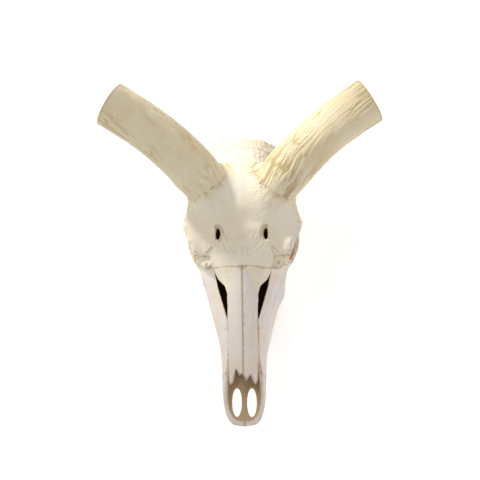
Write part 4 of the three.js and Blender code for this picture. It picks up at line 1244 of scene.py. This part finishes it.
class SKULL_OT_face(BuildOperator):
    """Maxillae, premaxillae, nasals, lacrimals and cheekbones"""

    bl_idname = "skull.face"
    bl_label = "Face bones"

    def execute(self, context):
        colours = context.scene.skull_colours
        material = bone_finish("face_bone", colours)
        for kind in ("maxilla", "premaxilla", "nasal", "lacrimal", "zygomatic"):
            for sign, hand in HANDS:
                bone_piece(kind, sign, f"{hand}_{kind}", f"{kind}_{hand}", material)
        return {"FINISHED"}


def saw_normal():
    """The way a saw cut faces: along the core's end, square to the upright of the cut."""
    end = horn_rings()["tangent"][-1]
    return unit(end - SAW_UPRIGHT * (end @ SAW_UPRIGHT) / (SAW_UPRIGHT @ SAW_UPRIGHT))


def horn_skin(skin):
    """The left core's points ring by ring, its skin's relief laid on and its end leaning into the saw cut."""
    h = horn_rings()
    saw = saw_normal()
    offset = h["ray"] * (h["radius"] + skin.reshape(h["radius"].shape))[:, :, None]
    leaning = np.maximum((h["t"] - SAW_FROM) / (1 - SAW_FROM), 0) / (h["tangent"] @ saw)
    offset = offset - h["tangent"][:, None] * (leaning[:, None] * (offset @ saw))[:, :, None]
    shorter = bpy.context.scene.skull_sizes.core_cut * MILLIMETRES * ramp(h["t"], CUT_FROM, 1.0)
    centre = h["centre"] - h["tangent"] * shorter[:, None]
    return (centre[:, None] + offset).reshape(-1, 3)


def horn_cap(end, seed):
    """Rings that close a core's last ring with spongy bone, and how deep in a pore each point lies."""
    depth = bpy.context.scene.skull_sizes.sponge_depth * MILLIMETRES
    middle = end.mean(axis=0)
    shares = np.linspace(1, 0.02, CAP_RINGS + 1)[1:]
    cap = np.concatenate([middle + (end - middle) * share for share in shares])
    cells = pits(cap, 4.2, 0.85, seed)
    sponge = np.repeat(ramp(1 - shares, 0.08, 0.16), HORN_SIDES)
    return cap - saw_normal() * (sponge * (0.5 + depth * cells))[:, None], cells * sponge


def tube_quads(rows, sides):
    """Quads of a tube of rings, closed by fans round the two points that follow the rings."""
    i, j = np.meshgrid(np.arange(rows - 1), np.arange(sides), indexing="ij")
    a, b = i * sides + j, i * sides + (j + 1) % sides
    tube = np.stack([a, b, b + sides, a + sides], axis=2).reshape(-1, 4)
    j = np.arange(0, sides, 2)
    fan = np.stack([j, j + 1, (j + 2) % sides], axis=1)
    hub = np.full((len(fan), 1), rows * sides)
    first = np.concatenate([hub, fan[:, ::-1]], axis=1)
    last = np.concatenate([hub + 1, fan + (rows - 1) * sides], axis=1)
    return np.concatenate([tube, first, last])


def mirrored(points, quads, sign):
    """The points and quads of the left side as they are, or turned over for the right side."""
    if sign > 0:
        return points, quads
    return points * np.array([-1, 1, 1]), quads[:, ::-1]


def horn_piece(sign, name, node, material):
    """A horn core from its pedicle to the saw cut, furrowed along its length."""
    seed = HORN_SKIN[sign][0]
    angle = np.tile(horn_rings()["angle"], HORN_RINGS)
    along = np.repeat(horn_rings()["along"], HORN_SIDES)
    skin, furrow = furrows(angle, along, sign, bpy.context.scene.skull_sizes.furrow_scale)
    points = horn_skin(skin)
    cap, pores = horn_cap(points[-HORN_SIDES:], seed + 20)
    root = points[:HORN_SIDES].mean(axis=0)
    heart = cap[-HORN_SIDES:].mean(axis=0)
    points = np.concatenate([points, cap, [root], [heart]])
    points, quads = mirrored(points, tube_quads(HORN_RINGS + CAP_RINGS, HORN_SIDES), sign)
    skinned = len(furrow)
    crevice_dirt_and_shade, cut, ochre = (np.zeros(len(points)) for _ in range(3))
    # Dirt and painted shade in the furrows and in the pores of the saw cut
    crevice_dirt_and_shade[:skinned] = furrow * (0.7 + 0.3 * (sign > 0))
    crevice_dirt_and_shade[skinned : skinned + len(pores)] = pores
    cut[:skinned] = 0.7 * ramp(along, along[-1] - 2.2, along[-1] - 0.6)
    cut[skinned:] = 0.85
    patch = np.exp(-((np.hypot(along - 12, 24 * np.sin((angle - 4.4) / 2)) / 12) ** 2))
    ochre[:skinned] = patch * (sign > 0) + 0.3 * ramp(rough(points[:skinned], 30, seed + 12), 0.3, 0.7)
    attributes = {"crevice_dirt_and_shade": crevice_dirt_and_shade, "cut": cut, "ochre": ochre}
    return mesh_piece(name, points, quads, attributes, material, node)


class SKULL_OT_horns(BuildOperator):
    """The two horn cores, sawn off short"""

    bl_idname = "skull.horns"
    bl_label = "Horn cores"

    def execute(self, context):
        material = horn_finish("horn_core", context.scene.skull_colours)
        for sign, hand in HANDS:
            horn_piece(sign, f"{hand}_horn_core", f"horn_core_{hand}", material)
        return {"FINISHED"}


# Cheek teeth from the second premolar to the last molar: length, width, lobes on the outer face
TEETH = ((12, 11, 1), (14, 13, 1), (14, 15, 1), (19, 17, 2), (22, 18, 2), (23, 17, 2))
FIRST_TOOTH_Y = 114.0
TOOTH_GAP = 0.6
TOOTH_ROOT_Z = 27.0
TEETH_LOW = np.array([8.0, 110.0, -1.1])
TEETH_ROOM = np.array([50.0, 114.0, 30.0])
GUM_EDGE = 1.5


def tooth_field(x, y, z, middle, length, width, lobes):
    """Distance to one cheek tooth of the left side, its worn face on the table."""
    centre = OUTLINES["gum"](np.array(middle)) - width / 2 - GUM_EDGE
    t = (y - middle) / length + 0.5
    wave = np.abs(np.sin(np.pi * lobes * np.clip(t, 0, 1)))
    taper = 1 - 0.05 * np.clip(z, 0, 30) / 27
    outer = (x - centre) - width / 2 * taper * (0.74 + 0.26 * wave**0.6)
    inner = -(x - centre) - width / 2 * taper * (0.7 + 0.3 * wave**0.8)
    ends = np.abs(y - middle) - length / 2 * taper
    body = meet(meet(outer, inner, 2), ends, 2.2)
    body = meet(body, meet(-z, z - TOOTH_ROOT_Z, 1), 1.2)
    for lobe in range(lobes):
        place = middle + length * ((lobe + 0.5) / lobes - 0.5)
        curl = np.hypot(x - centre + width * 0.32, (y - place) * 1.15) - width * 0.42
        reach = meet(np.abs(y - place) - length * 0.3 / lobes, z - 2.2, 0.6)
        body = carve(body, meet(np.abs(curl) - 0.7, reach, 0.6), 0.5)
    return body


def teeth_piece(sign, name, material):
    """A row of cheek teeth with lobed sides and crescents on their worn faces."""
    count = np.ceil(TEETH_ROOM / TEETH_STEP).astype(int)
    x, y, z = grid_axes(TEETH_LOW, TEETH_STEP, count)
    field = np.full(count, FAR, np.float32)
    start = FIRST_TOOTH_Y
    for length, width, lobes in TEETH:
        field = np.minimum(field, tooth_field(x, y, z, start + length / 2, length, width, lobes))
        start += length + TOOTH_GAP
    points, quads = surface(field, TEETH_STEP)
    points = TEETH_LOW + TEETH_STEP * points
    normals = normals_of(points, quads)
    points += normals * (0.12 * noise(points, (1.2, 1.2, 7), 50) * ramp(points[:, 2], 1, 4))[:, None]
    points[:, 2] = np.maximum(points[:, 2], 0)
    # How deep each point lies in a groove, painted as dirt and shade
    crevice_dirt_and_shade = hollows(points, quads, 6, 2.2)
    dentine = ramp(1.2 - points[:, 2], 0, 0.8) * ramp(noise(points, 2.6, 51), -0.3, 0.3)
    points, quads = mirrored(points, quads, sign)
    return mesh_piece(name, points, quads, {"crevice_dirt_and_shade": crevice_dirt_and_shade, "dentine": dentine}, material)


class SKULL_OT_teeth(BuildOperator):
    """The two rows of cheek teeth"""

    bl_idname = "skull.teeth"
    bl_label = "Cheek teeth"

    def execute(self, context):
        material = tooth_finish("tooth_enamel", context.scene.skull_colours)
        for sign, hand in HANDS:
            teeth_piece(sign, f"{hand}_teeth", material)
        return {"FINISHED"}


# Stage, in metres
FLOOR_SIZE = 8
FLOOR_Z = -0.0005
VIEW_CENTRE = (-0.004, 0.037, 0.09)
VIEW_ASIDE = 0.035
SENSOR_WIDTH = 36
KEY_TARGET = (0.02, 0.13, 0.17)
KEY_TOWARDS = (-0.69, 0.57, 0.46)
KEY_DISTANCE = 1.4
KEY_RADIUS = 0.04
KEY_SPREAD = math.radians(19)
KEY_COLOUR = (1.0, 0.97, 0.92)

# The two suns: the way the light falls, its softness and colour
SUNS = {
    "second": ((0.45, -0.3, -0.8), 0.25, (1.0, 0.98, 0.95)),
    "side": ((-0.8, 0.3, -0.4), 0.4, (0.92, 0.86, 1.0)),
}


def lamp(light, direction):
    """Puts a light in the scene, shining along the direction."""
    made = bpy.data.objects.new(light.name, light)
    made.rotation_euler = direction.to_track_quat("-Z", "Y").to_euler()
    bpy.context.scene.collection.objects.link(made)
    return made


def spot(power):
    """A warm spot light that shines at the brow from far off and fades out round it."""
    light = bpy.data.lights.new("key_light", "SPOT")
    light.energy = power
    light.spot_size = KEY_SPREAD
    light.spot_blend = 1.0
    light.shadow_soft_size = KEY_RADIUS
    light.color = KEY_COLOUR
    away = Vector(KEY_TOWARDS).normalized()
    lamp(light, -away).location = Vector(KEY_TARGET) + KEY_DISTANCE * away


def sun(name, strength):
    direction, softness, colour = SUNS[name]
    light = bpy.data.lights.new(f"{name}_light", "SUN")
    light.energy = strength
    light.angle = softness
    light.color = colour
    lamp(light, Vector(direction))


def white_surround(strength):
    world = bpy.data.worlds.new("surround")
    world.use_nodes = True
    background = world.node_tree.nodes["Background"]
    background.inputs["Color"].default_value = (1, 1, 1, 1)
    background.inputs["Strength"].default_value = strength
    bpy.context.scene.world = world


def place_camera(stage):
    """A camera above the snout that looks down on the middle of the skull."""
    tilt = stage.camera_height
    back = Vector((VIEW_ASIDE, -math.cos(tilt), math.sin(tilt))).normalized()
    right = Vector((0, 1, 0)).cross(back).normalized()
    up = back.cross(right)
    camera = bpy.data.cameras.new("camera")
    camera.sensor_width = SENSOR_WIDTH
    camera.lens = SENSOR_WIDTH * stage.camera_distance / stage.view_width
    eye = bpy.data.objects.new("camera", camera)
    place = Vector(VIEW_CENTRE) + back * stage.camera_distance
    eye.matrix_world = Matrix.Translation(place) @ Matrix((right, up, back)).transposed().to_4x4()
    bpy.context.scene.collection.objects.link(eye)
    bpy.context.scene.camera = eye


class SKULL_OT_stage(BuildOperator):
    """Floor, light and camera"""

    bl_idname = "skull.stage"
    bl_label = "Stage"

    def execute(self, context):
        stage = context.scene.skull_stage
        bpy.ops.mesh.primitive_grid_add(size=FLOOR_SIZE, x_subdivisions=4, y_subdivisions=4)
        floor = context.active_object
        floor.name = "floor"
        floor.location.z = FLOOR_Z
        floor.data.materials.append(paper_finish("floor_paper", stage.floor_colour, stage.floor_glow))
        spot(stage.key_power)
        sun("second", stage.second_power)
        sun("side", stage.side_power)
        white_surround(stage.fill_power)
        context.scene.view_settings.view_transform = "Standard"
        place_camera(stage)
        return {"FINISHED"}


OPERATORS = (SKULL_OT_cranium, SKULL_OT_face, SKULL_OT_horns, SKULL_OT_teeth, SKULL_OT_stage)


class SKULL_PT_panel(bpy.types.Panel):
    """Lists the skull's pieces, sizes, colours and stage"""

    bl_label = "Kudu Skull"
    bl_idname = "SKULL_PT_panel"
    bl_space_type = "VIEW_3D"
    bl_region_type = "UI"
    bl_category = "Kudu Skull"

    def draw(self, context):
        scene = context.scene
        for operator in OPERATORS:
            self.layout.operator(operator.bl_idname)
        for group in (scene.skull_sizes, scene.skull_colours, scene.skull_stage):
            box = self.layout.box()
            for key in group.__annotations__:
                box.prop(group, key)


CLASSES = (SkullColours, SkullSizes, SkullStage, *OPERATORS, SKULL_PT_panel)


def register():
    for cls in CLASSES:
        bpy.utils.register_class(cls)
    bpy.types.Scene.skull_colours = bpy.props.PointerProperty(type=SkullColours)
    bpy.types.Scene.skull_sizes = bpy.props.PointerProperty(type=SkullSizes)
    bpy.types.Scene.skull_stage = bpy.props.PointerProperty(type=SkullStage)


def unregister():
    del bpy.types.Scene.skull_stage
    del bpy.types.Scene.skull_sizes
    del bpy.types.Scene.skull_colours
    for cls in reversed(CLASSES):
        bpy.utils.unregister_class(cls)


def main():
    register()
    bpy.ops.skull.cranium()
    bpy.ops.skull.face()
    bpy.ops.skull.horns()
    bpy.ops.skull.teeth()
    bpy.ops.skull.stage()


if __name__ == "__main__":
    main()
